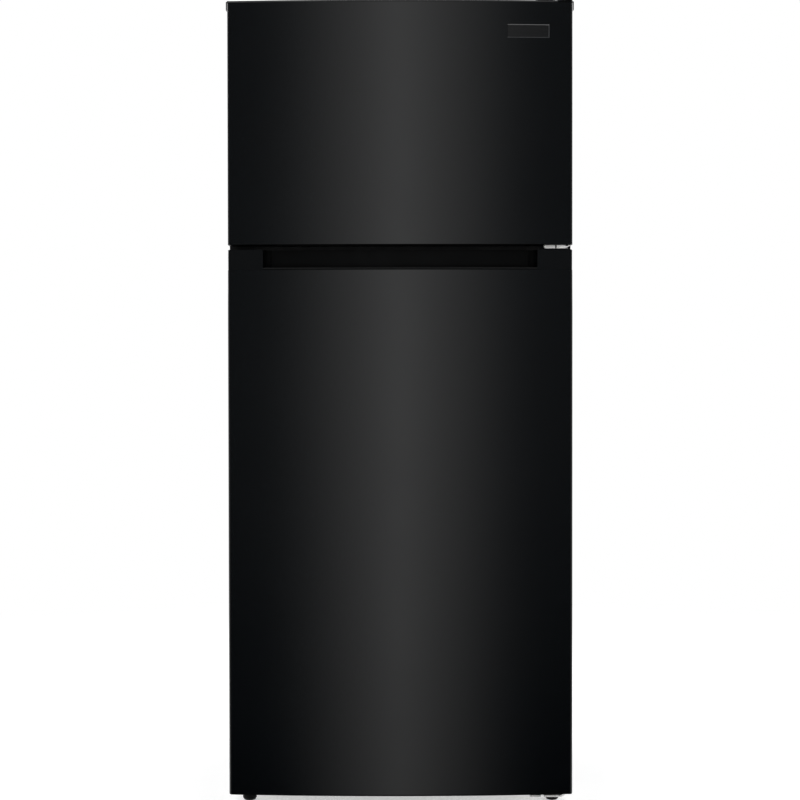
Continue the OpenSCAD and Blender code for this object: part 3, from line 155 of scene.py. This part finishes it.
def surface(
    name,
    colour,
    *,
    spread=0.06,
    mottle=9.0,
    rough=(0.3, 0.4),
    rough_scale=25.0,
    grain=(900.0, 0.00003),
    pebble=None,
    stretch=(1, 1, 1),
    warm=None,
    paint=(),
    **fixed,
):
    """A procedural Principled material with mottled colour and uneven gloss.

    spread: how far the colour strays, in patches of 1 / mottle metres
    rough: least and most roughness, in patches of 1 / rough_scale metres
    grain, pebble: scale, and height in metres, of the fine and the coarse relief
    stretch: how much finer the pattern is along each axis
    warm: the colour of the lighter patches, where it isn't colour itself
    paint: areas of another colour, each a colour, the low and high corner of the
        box that it fills and the softness of its edge
    fixed: values set on the shader's own sockets
    """
    material = bpy.data.materials.new(name)
    material.use_nodes = True
    g = Graph(material.node_tree)
    out = g.add("ShaderNodeOutputMaterial")
    coord = g.add("ShaderNodeTexCoord")
    place = g.add("ShaderNodeMapping", Vector=coord.outputs["Object"], Scale=stretch)
    where = place.outputs[0]
    base = g.mix(
        g.remap(g.noise(where, mottle, 4.0), *NOISE_SPAN, 0, 1),
        shade(colour, 1 - spread),
        shade(warm or colour, 1 + spread),
    )
    for other, low, high, soft in paint:
        inside = in_box(g, coord.outputs["Object"], low, high, soft)
        base = g.mix(inside, base, tuple(other) + (1.0,))
    shine = g.remap(g.noise(where, rough_scale, 3.0), *NOISE_SPAN, *rough)
    fine = g.add("ShaderNodeBump", Height=g.noise(where, grain[0], 2.0))
    fine.inputs["Distance"].default_value = grain[1]
    if pebble:
        cells = g.add(
            "ShaderNodeTexVoronoi",
            {"feature": "SMOOTH_F1"},
            Vector=where,
            Scale=pebble[0],
            Smoothness=PEBBLE_SMOOTHNESS,
        )
        relief = g.add("ShaderNodeBump", Height=cells.outputs["Distance"])
        relief.inputs["Distance"].default_value = pebble[1]
        g.feed(fine.inputs["Normal"], relief.outputs[0])
    bsdf = g.add("ShaderNodeBsdfPrincipled")
    g.feed(bsdf.inputs["Base Color"], base)
    g.feed(bsdf.inputs["Roughness"], shine)
    g.feed(bsdf.inputs["Normal"], fine.outputs[0])
    for key, value in fixed.items():
        bsdf.inputs[key.replace("_", " ")].default_value = value
    g.feed(out.inputs["Surface"], bsdf.outputs[0])
    material.diffuse_color = tuple(colour[:3]) + (1.0,)
    return material


# ------------------------------------------------------------------ materials

OPEN = (None, None, None)  # a corner of a paint box where all three sides are open

BLACK_PLASTIC = (0.0015, 0.0017, 0.0018)
BLACK_PLASTIC_FINISH = dict(
    spread=0.1,
    rough=(0.3, 0.36),
    grain=(1400, 0.00002),
    Specular_IOR_Level=0.1,
)
ZINC = (0.84, 0.845, 0.85)
ZINC_FINISH = dict(
    spread=0.05,
    mottle=60,
    rough=(0.3, 0.42),
    rough_scale=140,
    grain=(900, 0.00002),
    warm=(0.86, 0.85, 0.82),
    Metallic=0.2,
)

materials = {
    "black_steel": surface(
        "black_coated_steel",
        (0.0008, 0.0012, 0.0016),
        spread=0.08,
        rough=(0.11, 0.13),
        rough_scale=6,
        grain=(260, 0.000012),
        Specular_IOR_Level=0.5,
    ),
    "black_plastic": surface(
        "black_satin_plastic", BLACK_PLASTIC, **BLACK_PLASTIC_FINISH
    ),
    "case_steel": surface(
        "black_textured_steel",
        (0.0055, 0.006, 0.0064),
        spread=0.08,
        rough=(0.44, 0.48),
        pebble=(420, 0.00022),
        grain=(1500, 0.00003),
        Specular_IOR_Level=0.32,
    ),
    "grey_steel": surface(
        "dark_coated_sheet",
        (0.022, 0.0225, 0.024),
        spread=0.12,
        mottle=5,
        rough=(0.38, 0.48),
        grain=(500, 0.00003),
    ),
    "zinc": surface("bright_zinc_plate", ZINC, **ZINC_FINISH),
    "liner": surface(
        "white_vacuum_formed_liner",
        (0.78, 0.79, 0.79),
        spread=0.012,
        mottle=4,
        rough=(0.27, 0.31),
        rough_scale=12,
        pebble=(14, 0.0001),
        grain=(700, 0.00001),
    ),
    "white_plastic": surface(
        "white_moulded_plastic",
        (0.76, 0.77, 0.77),
        spread=0.012,
        rough=(0.29, 0.32),
        grain=(900, 0.000012),
    ),
    "clear_plastic": surface(
        "clear_moulded_plastic",
        (0.86, 0.93, 0.95),
        spread=0.02,
        rough=(0.05, 0.11),
        grain=(60, 0.00002),
        IOR=1.5,
        Transmission_Weight=1.0,
    ),
    "grey_plastic": surface(
        "grey_moulded_plastic",
        (0.035, 0.036, 0.039),
        spread=0.08,
        rough=(0.34, 0.42),
        grain=(1300, 0.00003),
    ),
    "glass": surface(
        "tempered_glass",
        (0.84, 0.95, 0.91),
        spread=0.02,
        rough=(0.0, 0.03),
        grain=(5, 0.00002),
        IOR=1.52,
        Transmission_Weight=1.0,
    ),
    "gasket": surface(
        "grey_vinyl_gasket",
        (0.012, 0.0125, 0.0135),
        spread=0.12,
        mottle=20,
        rough=(0.5, 0.6),
        grain=(500, 0.00004),
    ),
    "rubber": surface(
        "black_rubber",
        (0.008, 0.008, 0.008),
        spread=0.2,
        mottle=30,
        rough=(0.65, 0.8),
        grain=(800, 0.00006),
    ),
    "foam": surface(
        "polyurethane_foam",
        (0.66, 0.53, 0.25),
        spread=0.15,
        mottle=30,
        rough=(0.85, 0.95),
        pebble=(300, 0.0006),
        grain=(1200, 0.0002),
    ),
    "compressor_paint": surface(
        "black_enamel",
        (0.005, 0.005, 0.0055),
        spread=0.15,
        rough=(0.22, 0.32),
        grain=(240, 0.00006),
    ),
    "copper": surface(
        "copper_tube",
        (0.62, 0.29, 0.15),
        spread=0.18,
        mottle=40,
        rough=(0.25, 0.42),
        rough_scale=60,
        grain=(700, 0.00002),
        warm=(0.5, 0.2, 0.1),
        Metallic=1.0,
    ),
    "aluminium": surface(
        "mill_aluminium",
        (0.74, 0.75, 0.76),
        spread=0.06,
        mottle=50,
        rough=(0.3, 0.42),
        rough_scale=80,
        grain=(600, 0.00003),
        stretch=(1, 1, 6),
        Metallic=1.0,
    ),
    "white_wire": surface(
        "white_coated_wire",
        (0.76, 0.76, 0.75),
        spread=0.03,
        rough=(0.25, 0.33),
        grain=(600, 0.00002),
    ),
}

for part in nodes.values():
    for slot in part.material_slots:
        slot.material = materials[slot.material.name.split(".")[0]]


def refinish(node, material):
    """Gives one node a material of its own."""
    for slot in nodes[node].material_slots:
        slot.material = material


# painted shade: a near-black standing in for the shade in the gap between the doors,
# used on the hinge behind its front edge and on the mullion rail
GAP_SHADE_BLACK = (0.0012, 0.0013, 0.0014)
# how far behind the hinge's front the painted shade starts
SHADE_START_DEPTH = 1.5 * MM
PAINT_EDGE = 0.1 * MM


def finish_middle_hinge():
    """Bright zinc on its front edge, with painted shade behind it for the dark gap
    between the doors.
    """
    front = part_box("middle_hinge")[0][1]
    gap_shade = (GAP_SHADE_BLACK, (None, front + SHADE_START_DEPTH, None), OPEN, PAINT_EDGE)
    refinish(
        "middle_hinge",
        surface("zinc_plate_with_painted_shade", ZINC, paint=[gap_shade], **ZINC_FINISH),
    )


# painted sheen: the cap's ends are lighter than its plastic so they match the doors'
# reflection
CAP_END_SHEEN = (0.0034, 0.0039, 0.0044)
# painted shade in the pocket, darkest at the groove behind the lip
POCKET_SHADE = (0.0001, 0.0001, 0.0001)
POCKET_HALF = 0.281
POCKET_FRONT = -0.345
POCKET_BELOW = 30 * MM  # how far the shade reaches below and above the lip's top
POCKET_ABOVE = 7 * MM
POCKET_FADE = 6 * MM
LIP_DROP = 36 * MM  # from the cap's top down to the lip's top
SHEEN_DROP = 8 * MM  # from there down to the foot of the ends' painted sheen
SHEEN_EDGE = 0.3 * MM


def finish_handle_cap():
    """Ends painted lighter as a painted sheen like the doors' reflection, and painted
    shade in the pocket that darkens towards the lip.
    """
    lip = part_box("fridge_door_handle_cap")[1][2] - LIP_DROP
    sheen_foot = lip - SHEEN_DROP
    refinish(
        "fridge_door_handle_cap",
        surface(
            "black_handle_cap_painted_sheen_and_shade",
            BLACK_PLASTIC,
            paint=[
                (CAP_END_SHEEN, (POCKET_HALF, None, sheen_foot), OPEN, SHEEN_EDGE),
                (CAP_END_SHEEN, (None, None, sheen_foot), (-POCKET_HALF, None, None), SHEEN_EDGE),
                (
                    POCKET_SHADE,
                    (-POCKET_HALF, POCKET_FRONT, lip - POCKET_BELOW),
                    (POCKET_HALF, None, lip + POCKET_ABOVE),
                    POCKET_FADE,
                ),
            ],
            **BLACK_PLASTIC_FINISH,
        ),
    )


# painted highlight: a lighter band on the plate's right and lower edges
BEVEL_HIGHLIGHT = (0.034, 0.035, 0.037)
HIGHLIGHT_SIDE = 1.8 * MM
HIGHLIGHT_FOOT = 1.7 * MM


def finish_name_plate():
    """A bare dark plate with a painted highlight along its right and lower edges, for
    light caught by its bevel.
    """
    low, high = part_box("name_plate")
    refinish(
        "name_plate",
        surface(
            "dark_name_plate_painted_highlight",
            (0.004, 0.0042, 0.0045),
            rough=(0.2, 0.26),
            grain=(1100, 0.00001),
            paint=[
                (BEVEL_HIGHLIGHT, (high[0] - HIGHLIGHT_SIDE, None, None), OPEN, PAINT_EDGE),
                (BEVEL_HIGHLIGHT, OPEN, (None, None, low[2] + HIGHLIGHT_FOOT), PAINT_EDGE),
            ],
        ),
    )


finish_middle_hinge()
finish_handle_cap()
# the mullion rail is near-black, darker than the case steel: partly its own black
# paint, partly painted shade for the gap between the doors
refinish("mullion_rail", surface("black_rail_with_painted_shade", GAP_SHADE_BLACK, rough=(0.4, 0.48)))
finish_name_plate()


# ------------------------------------------------------------------ small details


FACE_BACK = Matrix.Rotation(-math.pi / 2, 4, "X")  # turns +Z to +Y
FACE_FRONT = Matrix.Rotation(math.pi / 2, 4, "X")  # turns +Z to -Y


def new_piece(name, bm, body, slot):
    """Makes a mesh piece that rides on a body and takes a slot's material."""
    mesh = bpy.data.meshes.new(name)
    bmesh.ops.recalc_face_normals(bm, faces=bm.faces)
    bm.to_mesh(mesh)
    bm.free()
    piece = bpy.data.objects.new(name, mesh)
    scene.collection.objects.link(piece)
    mesh.materials.append(materials[slot])
    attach(piece, body)


def join_loops(bm, a, b):
    """Faces between two closed loops with the same number of points."""
    for i in range(len(a)):
        j = (i + 1) % len(a)
        bm.faces.new((a[i], a[j], b[j], b[i]))


def polar(radius, angle):
    """A point on a circle round the origin."""
    return radius * math.cos(angle), radius * math.sin(angle)


SCREW_SIDES = 24
SCREW_PROFILE = (  # radius and height in mm, from the seat to the edge of the drive
    (4.6, -0.3),
    (4.6, 0.35),
    (4.3, 0.6),
    (3.6, 0.65),
    (3.55, 1.3),
    (3.2, 1.8),
    (2.7, 2.05),
    (2.4, 2.1),
)
DRIVE_ARM = 1.9 * MM
DRIVE_HALF = 0.42 * MM
DRIVE_DEPTH = 1.1 * MM
DRIVE_TAPER = 0.7  # size of the recess's floor against its rim


def drive_outline():
    """The plan of a cross recess, three corners for each quarter turn."""
    corners = (
        (DRIVE_ARM, -DRIVE_HALF),
        (DRIVE_ARM, DRIVE_HALF),
        (DRIVE_HALF, DRIVE_HALF),
    )
    outline = []
    for turn in range(4):
        quarter = Matrix.Rotation(turn * math.pi / 2, 2)
        outline += [quarter @ Vector(corner) for corner in corners]
    return outline


def screw_head(bm, place):
    """A washer-faced pan head with a cross recess, its seat at the origin of place."""
    loops = []
    for radius, height in SCREW_PROFILE:
        ring = []
        for i in range(SCREW_SIDES):
            x, y = polar(radius * MM, 2 * math.pi * i / SCREW_SIDES)
            ring.append(bm.verts.new(place @ Vector((x, y, height * MM))))
        loops.append(ring)
    for a, b in zip(loops, loops[1:]):
        join_loops(bm, a, b)
    bm.faces.new(loops[0][::-1])
    top = SCREW_PROFILE[-1][1] * MM
    outline = drive_outline()
    rim = [bm.verts.new(place @ Vector((x, y, top))) for x, y in outline]
    floor = top - DRIVE_DEPTH
    sink = [
        bm.verts.new(place @ Vector((DRIVE_TAPER * x, DRIVE_TAPER * y, floor)))
        for x, y in outline
    ]
    join_loops(bm, rim, sink)
    bm.faces.new(sink)
    edges = []
    for loop in (loops[-1], rim):
        for i, vert in enumerate(loop):
            pair = (vert, loop[(i + 1) % len(loop)])
            edges.append(bm.edges.get(pair) or bm.edges.new(pair))
    bmesh.ops.triangle_fill(bm, use_beauty=True, edges=edges)


SHEET = 1 * MM  # of the back panel, and of the rear cover's flange on it
PANEL_INSET = 9 * MM  # from the back panel's edges to its screws
COVER_INSET = 11.5 * MM
COVER_TOP_INSET = 10 * MM
SCREW_TURN = 0.7  # radians from one screw's drive to the next
PANEL_SCREW_Z = (0.33, 0.59, 0.85, 1.11, 1.37, 1.63)
PANEL_SCREW_X = (-0.285, -0.095, 0.095, 0.285)
COVER_SCREW_Z = (0.09, 0.165, 0.24)
COVER_SCREW_X = (-0.225, -0.075, 0.075, 0.225)


def build_rear_screws():
    """Screws of the back panel and of the machine compartment's cover."""
    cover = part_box("rear_cover")[1]
    panel_low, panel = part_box("back_panel")
    on_panel = panel_low[1] + SHEET
    on_cover = on_panel + SHEET
    side = cover[0] - COVER_INSET
    edge = panel[0] - PANEL_INSET
    spots = [(x, on_cover, z) for x in (-side, side) for z in COVER_SCREW_Z]
    spots += [(x, on_cover, cover[2] - COVER_TOP_INSET) for x in COVER_SCREW_X]
    spots += [(x, on_panel, z) for x in (-edge, edge) for z in PANEL_SCREW_Z]
    spots += [(x, on_panel, panel[2] - PANEL_INSET) for x in PANEL_SCREW_X]
    bm = bmesh.new()
    for i, spot in enumerate(spots):
        turned = Matrix.Rotation(SCREW_TURN * i, 4, "Z")
        screw_head(bm, Matrix.Translation(spot) @ FACE_BACK @ turned)
    new_piece("rear_screws", bm, "cabinet", "zinc")


MARK_HEIGHT = 0.2 * MM


def raised_mark(bm, place, points):
    """A flat raised mark whose outline is given in mm."""
    loops = []
    for height in (0, MARK_HEIGHT):
        spots = (place @ Vector((x * MM, y * MM, height)) for x, y in points)
        loops.append([bm.verts.new(spot) for spot in spots])
    join_loops(bm, *loops)
    bm.faces.new(loops[1])
    bm.faces.new(loops[0][::-1])


def bar(x0, x1, y0, y1):
    """The corners of a rectangle."""
    return (x0, y0), (x1, y0), (x1, y1), (x0, y1)


def raised_digit(bm, place, digit, size):
    """A raised number of the dial, in Blender's own plain font."""
    curve = bpy.data.curves.new("digit", "FONT")
    curve.body = str(digit)
    curve.size = size
    curve.extrude = MARK_HEIGHT / 2
    curve.align_x = "CENTER"
    curve.align_y = "CENTER"
    text = bpy.data.objects.new("digit", curve)
    mesh = bpy.data.meshes.new_from_object(text)
    mesh.transform(place @ Matrix.Translation((0, 0, MARK_HEIGHT / 2)))
    bm.from_mesh(mesh)
    bpy.data.objects.remove(text)
    bpy.data.curves.remove(curve)
    bpy.data.meshes.remove(mesh)


DIAL_ANGLES = (206, 180, 154, 26, 0, -26)  # degrees, of the numbers from 1 up
DIAL_RADIUS = 24.5 * MM
DIGIT_SIZE = 5.2 * MM
DIAL_TICK = bar(19, 21, -0.3, 0.3)


def build_dial_marks():
    """Numbers and ticks beside the temperature knob."""
    low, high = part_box("temperature_knob")
    x, _, z = (low + high) / 2
    centre = Vector((x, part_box("control_housing")[0][1], z))
    bm = bmesh.new()
    for digit, angle in enumerate(map(math.radians, DIAL_ANGLES), start=1):
        across, up = polar(DIAL_RADIUS, angle)
        spot = centre + Vector((across, 0, up))
        raised_digit(bm, Matrix.Translation(spot) @ FACE_FRONT, digit, DIGIT_SIZE)
        turned = Matrix.Rotation(angle, 4, "Z")
        raised_mark(bm, Matrix.Translation(centre) @ FACE_FRONT @ turned, DIAL_TICK)
    new_piece("dial_numbers", bm, "cabinet", "grey_plastic")


CONTROL_DEPTH = 6 * MM  # from the freezer control's front to the evaporator cover
COLD_WEDGE = ((-22, -14), (22, -17.5), (22, -14))
COLD_TICKS = tuple(bar(x - 0.4, x + 0.4, 11, 14) for x in (-22, -11, 0, 11, 22))


def build_freezer_marks():
    """A cold wedge and ticks round the freezer's air control."""
    low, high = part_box("freezer_control")
    x, _, z = (low + high) / 2
    place = Matrix.Translation((x, low[1] + CONTROL_DEPTH, z)) @ FACE_FRONT
    bm = bmesh.new()
    for mark in (COLD_WEDGE, *COLD_TICKS):
        raised_mark(bm, place, mark)
    new_piece("freezer_marks", bm, "cabinet", "grey_plastic")


HUMP_FOOT = (0.0864, 0.116)  # y and z where the foam of the rear step starts
HUMP_BROW = (0.1184, 0.303)  # and where it ends below the liner's ledge
HUMP_HALF = 0.299
HUMP_CORNER = 0.018
HUMP_STEPS = 8  # of its lower corners
LINER_THICKNESS = 2 * MM
HUMP_BACK = 0.05 * MM  # from the foam's face forward to the sheet's back
HUMP_FACE = 1.2 * MM  # and to its face
HUMP_NOSE = (  # section of the rolled top edge, in mm from the foam's face at the ledge
    (-1.2, -2),
    (-1.2, -0.6),
    (-0.7, 0.2),
    (0.2, 0.5),
    (5, 0.5),
    (5, 0.05),
    (-0.05, 0.05),
    (-0.05, -2),
)


def build_hump_panel():
    """The liner's sheet over the front of the step behind the drawers."""
    slope = (HUMP_BROW[0] - HUMP_FOOT[0]) / (HUMP_BROW[1] - HUMP_FOOT[1])
    ledge = HUMP_BROW[1] + LINER_THICKNESS
    floor = HUMP_FOOT[1] + LINER_THICKNESS

    def foam(z):
        return HUMP_FOOT[0] + slope * (z - HUMP_FOOT[1])

    left = [(-HUMP_HALF, ledge)]
    for i in range(HUMP_STEPS + 1):
        across, down = polar(HUMP_CORNER, math.pi / 2 * i / HUMP_STEPS)
        left.append((HUMP_CORNER - across - HUMP_HALF, floor + HUMP_CORNER - down))
    outline = left + [(-x, z) for x, z in left[::-1]]
    bm = bmesh.new()
    back = [bm.verts.new((x, foam(z) - HUMP_BACK, z)) for x, z in outline]
    front = [bm.verts.new((x, foam(z) - HUMP_FACE, z)) for x, z in outline]
    join_loops(bm, back, front)
    bm.faces.new(front)
    bm.faces.new(back[::-1])
    ends = []
    for x in (-HUMP_HALF, HUMP_HALF):
        section = [(foam(ledge) + y * MM, ledge + z * MM) for y, z in HUMP_NOSE]
        ends.append([bm.verts.new((x, y, z)) for y, z in section])
    join_loops(bm, *ends)
    bm.faces.new(ends[0])
    bm.faces.new(ends[1][::-1])
    new_piece("hump_panel", bm, "cabinet", "liner")


build_rear_screws()
build_dial_marks()
build_freezer_marks()
build_hump_panel()


# ------------------------------------------------------------------ studio

# the strip that the doors reflect: angles in radians, levels with white at 1
STRIP_HALF = 0.30
STRIP_LEVEL = 1.2
STRIP = (  # share of the half width, brightness there and blueness
    (0.0, 1.17, 0.0),
    (0.111, 0.92, 0.0),
    (0.222, 0.705, 0.0),
    (0.334, 0.56, 0.0),
    (0.445, 0.395, 0.01),
    (0.556, 0.262, 0.02),
    (0.667, 0.158, 0.04),
    (0.779, 0.115, 0.05),
    (0.85, 0.098, 0.05),
    (1.0, 0.085, 0.05),
)
STRIP_END = (0.6, 1.0)  # it fades out between these rises
NARROWING = 0.55  # per radian below the horizon
DIMMING = (0.74, 1.5)  # per radian and per square radian below the horizon
DIMMEST = 0.45  # what is left of it at the lowest
SHADE = 1.1  # taken off all colours per square radian below the horizon
SHADE_END = 0.1  # square radians where the shade stops growing
# the studio's walls: brightness, and the angles where they start and are full
SIDE_SHEEN = (0.22, 0.42, 0.8)
BACK_WALL = (1.0, 1.2, 2.0)
CEILING = (0.7, 0.45, 1.1)


def strip_colour(g, across):
    """The strip's light at a share of its half width."""
    strip = g.add("ShaderNodeValToRGB", Fac=across)
    ramp = strip.color_ramp
    ramp.interpolation = "LINEAR"
    while len(ramp.elements) > 1:
        ramp.elements.remove(ramp.elements[-1])
    for i, (position, level, tint) in enumerate(STRIP):
        stop = ramp.elements[0] if i == 0 else ramp.elements.new(position)
        stop.position = position
        level /= STRIP_LEVEL
        stop.color = (level * (1 - tint), level, level * (1 + tint), 1)
    return strip.outputs[0]


def strip_light(g, azimuth, rise):
    """The strip's light in a direction."""
    drop = g.math("MULTIPLY", g.math("MINIMUM", rise, 0.0), -1.0)
    narrow = g.math("MULTIPLY_ADD", drop, NARROWING, 1.0)
    across = g.math("DIVIDE", g.math("MULTIPLY", azimuth, narrow), STRIP_HALF)
    first, second = DIMMING
    dim = g.math("MULTIPLY", g.math("MULTIPLY_ADD", drop, second, first), drop)
    tall = g.math("MAXIMUM", g.math("SUBTRACT", 1.0, dim), DIMMEST)
    tall = g.math("MULTIPLY", tall, g.remap(rise, *STRIP_END, 1.0, 0.0, smooth=True))
    dark = g.math("MINIMUM", g.math("MULTIPLY", drop, drop), SHADE_END)
    dark = g.math("MULTIPLY", dark, -SHADE / STRIP_LEVEL)
    scaled = g.add(
        "ShaderNodeVectorMath", {"operation": "SCALE"}, Vector=strip_colour(g, across)
    )
    g.feed(scaled.inputs["Scale"], tall)
    return g.vector("ADD", scaled.outputs[0], g.grey(dark))


def build_world():
    """White for the camera, and for other rays a studio.

    It has a tall bright strip ahead of the doors and white walls behind them.
    """
    world = bpy.data.worlds.new("studio")
    scene.world = world
    world.use_nodes = True
    g = Graph(world.node_tree)
    out = g.add("ShaderNodeOutputWorld")
    coord = g.add("ShaderNodeTexCoord")
    split = g.add("ShaderNodeSeparateXYZ", Vector=coord.outputs["Generated"])
    x, y, z = split.outputs
    azimuth = g.math("ABSOLUTE", g.math("ARCTAN2", x, g.math("MULTIPLY", y, -1.0)))
    rise = g.math("ARCSINE", z)
    wall = 0.0
    for angle, (level, start, full) in (
        (azimuth, BACK_WALL),
        (azimuth, SIDE_SHEEN),
        (rise, CEILING),
    ):
        part = g.remap(angle, start, full, 0.0, level / STRIP_LEVEL, smooth=True)
        wall = g.math("MAXIMUM", part, wall)
    colour = g.vector("MAXIMUM", strip_light(g, azimuth, rise), g.grey(wall))
    studio = g.add("ShaderNodeBackground", Color=colour, Strength=STRIP_LEVEL)
    white = g.add("ShaderNodeBackground", Color=(1, 1, 1, 1))
    path = g.add("ShaderNodeLightPath")
    shown = g.blend(g.direct(path), studio, white)
    g.feed(out.inputs["Surface"], shown.outputs[0])


FLOOR_HALF = 12.0
FLOOR_DARK = (0.80, 0.80, 0.80, 1)
FLOOR_LIGHT = (0.84, 0.84, 0.84, 1)
FLOOR_GLOW = 0.42  # lifts the lit floor to white outside the shadow
SHADOW_FIELD = (1.3, 3.0)  # the floor turns pure white between these distances
BODY_FRONT = -0.40  # reflections of the floor ahead of this plane show the studio


def floor_material():
    """Pale and shadowed near the object, white further out."""
    material = bpy.data.materials.new("pale_floor")
    material.use_nodes = True
    g = Graph(material.node_tree)
    out = g.add("ShaderNodeOutputMaterial")
    where = g.add("ShaderNodeTexCoord").outputs["Object"]
    length = g.add("ShaderNodeVectorMath", {"operation": "LENGTH"}, Vector=where)
    away = g.remap(length.outputs["Value"], *SHADOW_FIELD, 0.0, 1.0, smooth=True)
    tone = g.mix(g.noise(where, 6.0, 3.0), FLOOR_DARK, FLOOR_LIGHT)
    lit = g.add("ShaderNodeBsdfDiffuse", Color=tone)
    near = g.add("ShaderNodeAddShader")
    g.feed(near.inputs[0], lit.outputs[0])
    glow = g.add("ShaderNodeEmission", Strength=FLOOR_GLOW)
    g.feed(near.inputs[1], glow.outputs[0])
    shown = g.blend(away, near, g.add("ShaderNodeEmission", Strength=1.0))
    path = g.add("ShaderNodeLightPath")
    glossy = path.outputs["Is Glossy Ray"]
    y = g.add("ShaderNodeSeparateXYZ", Vector=where).outputs[1]
    ahead = g.math("LESS_THAN", y, BODY_FRONT)
    mirrored = g.math("MULTIPLY", glossy, g.math("SUBTRACT", 1.0, ahead))
    seen = g.math("MAXIMUM", g.direct(path), mirrored)
    plain = g.blend(seen, lit, shown)
    clear = g.add("ShaderNodeBsdfTransparent")
    both = g.blend(g.math("MULTIPLY", glossy, ahead), plain, clear)
    g.feed(out.inputs["Surface"], both.outputs[0])
    return material


def build_floor():
    """A wide floor, which isn't part of the refrigerator."""
    mesh = bpy.data.meshes.new("floor")
    corners = ((-1, -1), (1, -1), (1, 1), (-1, 1))
    mesh.from_pydata(
        [(x * FLOOR_HALF, y * FLOOR_HALF, 0) for x, y in corners], [], [(0, 1, 2, 3)]
    )
    floor = bpy.data.objects.new("floor", mesh)
    scene.collection.objects.link(floor)
    mesh.materials.append(floor_material())


def softbox(name, place, aim, size, power, glossy):
    """A square area lamp, seen in reflections only where glossy is set."""
    lamp = bpy.data.lights.new(name, "AREA")
    lamp.shape = "SQUARE"
    lamp.size = size
    lamp.energy = power
    obj = bpy.data.objects.new(name, lamp)
    obj.location = place
    toward = Vector(aim) - Vector(place)
    obj.rotation_euler = toward.to_track_quat("-Z", "Y").to_euler()
    obj.visible_glossy = glossy
    scene.collection.objects.link(obj)


SIDE_AIM = (0, 0, 0.9)
TOP_AIM = (0, 0, 0.8)
KEY_PLACE = (2.8, -3.8, 2.6)
REAR_PLACE = (3.0, 3.4, 2.2)
TOP_PLACE = (0, -0.4, 4.4)
SIDE_SIZE = 2.0
TOP_SIZE = 2.4
KEY_POWER = 65
REAR_POWER = 35
TOP_POWER = 36


def build_lights():
    """A key and a rear lamp on either side, and one above."""
    for side in (-1, 1):
        for name, (x, y, z), power, glossy in (
            ("key", KEY_PLACE, KEY_POWER, False),
            ("rear", REAR_PLACE, REAR_POWER, True),
        ):
            place = (side * x, y, z)
            softbox(f"{name}_{side}", place, SIDE_AIM, SIDE_SIZE, power, glossy)
    softbox("top", TOP_PLACE, TOP_AIM, TOP_SIZE, TOP_POWER, True)


SENSOR = 36.0
LENS = 83.313
CAMERA = (-0.0006, -4.154, 0.9286)
CAMERA_DIP = math.radians(1.1615)
CAMERA_ROLL = math.radians(0.079)


def build_camera():
    """Straight ahead of the doors at half height, looking slightly down."""
    data = bpy.data.cameras.new("camera")
    data.sensor_width = SENSOR
    data.lens = LENS
    camera = bpy.data.objects.new("camera", data)
    camera.location = CAMERA
    camera.rotation_euler = (math.pi / 2 - CAMERA_DIP, CAMERA_ROLL, 0)
    scene.collection.objects.link(camera)
    scene.camera = camera


scene.view_settings.view_transform = "Standard"
build_world()
build_floor()
build_lights()
build_camera()
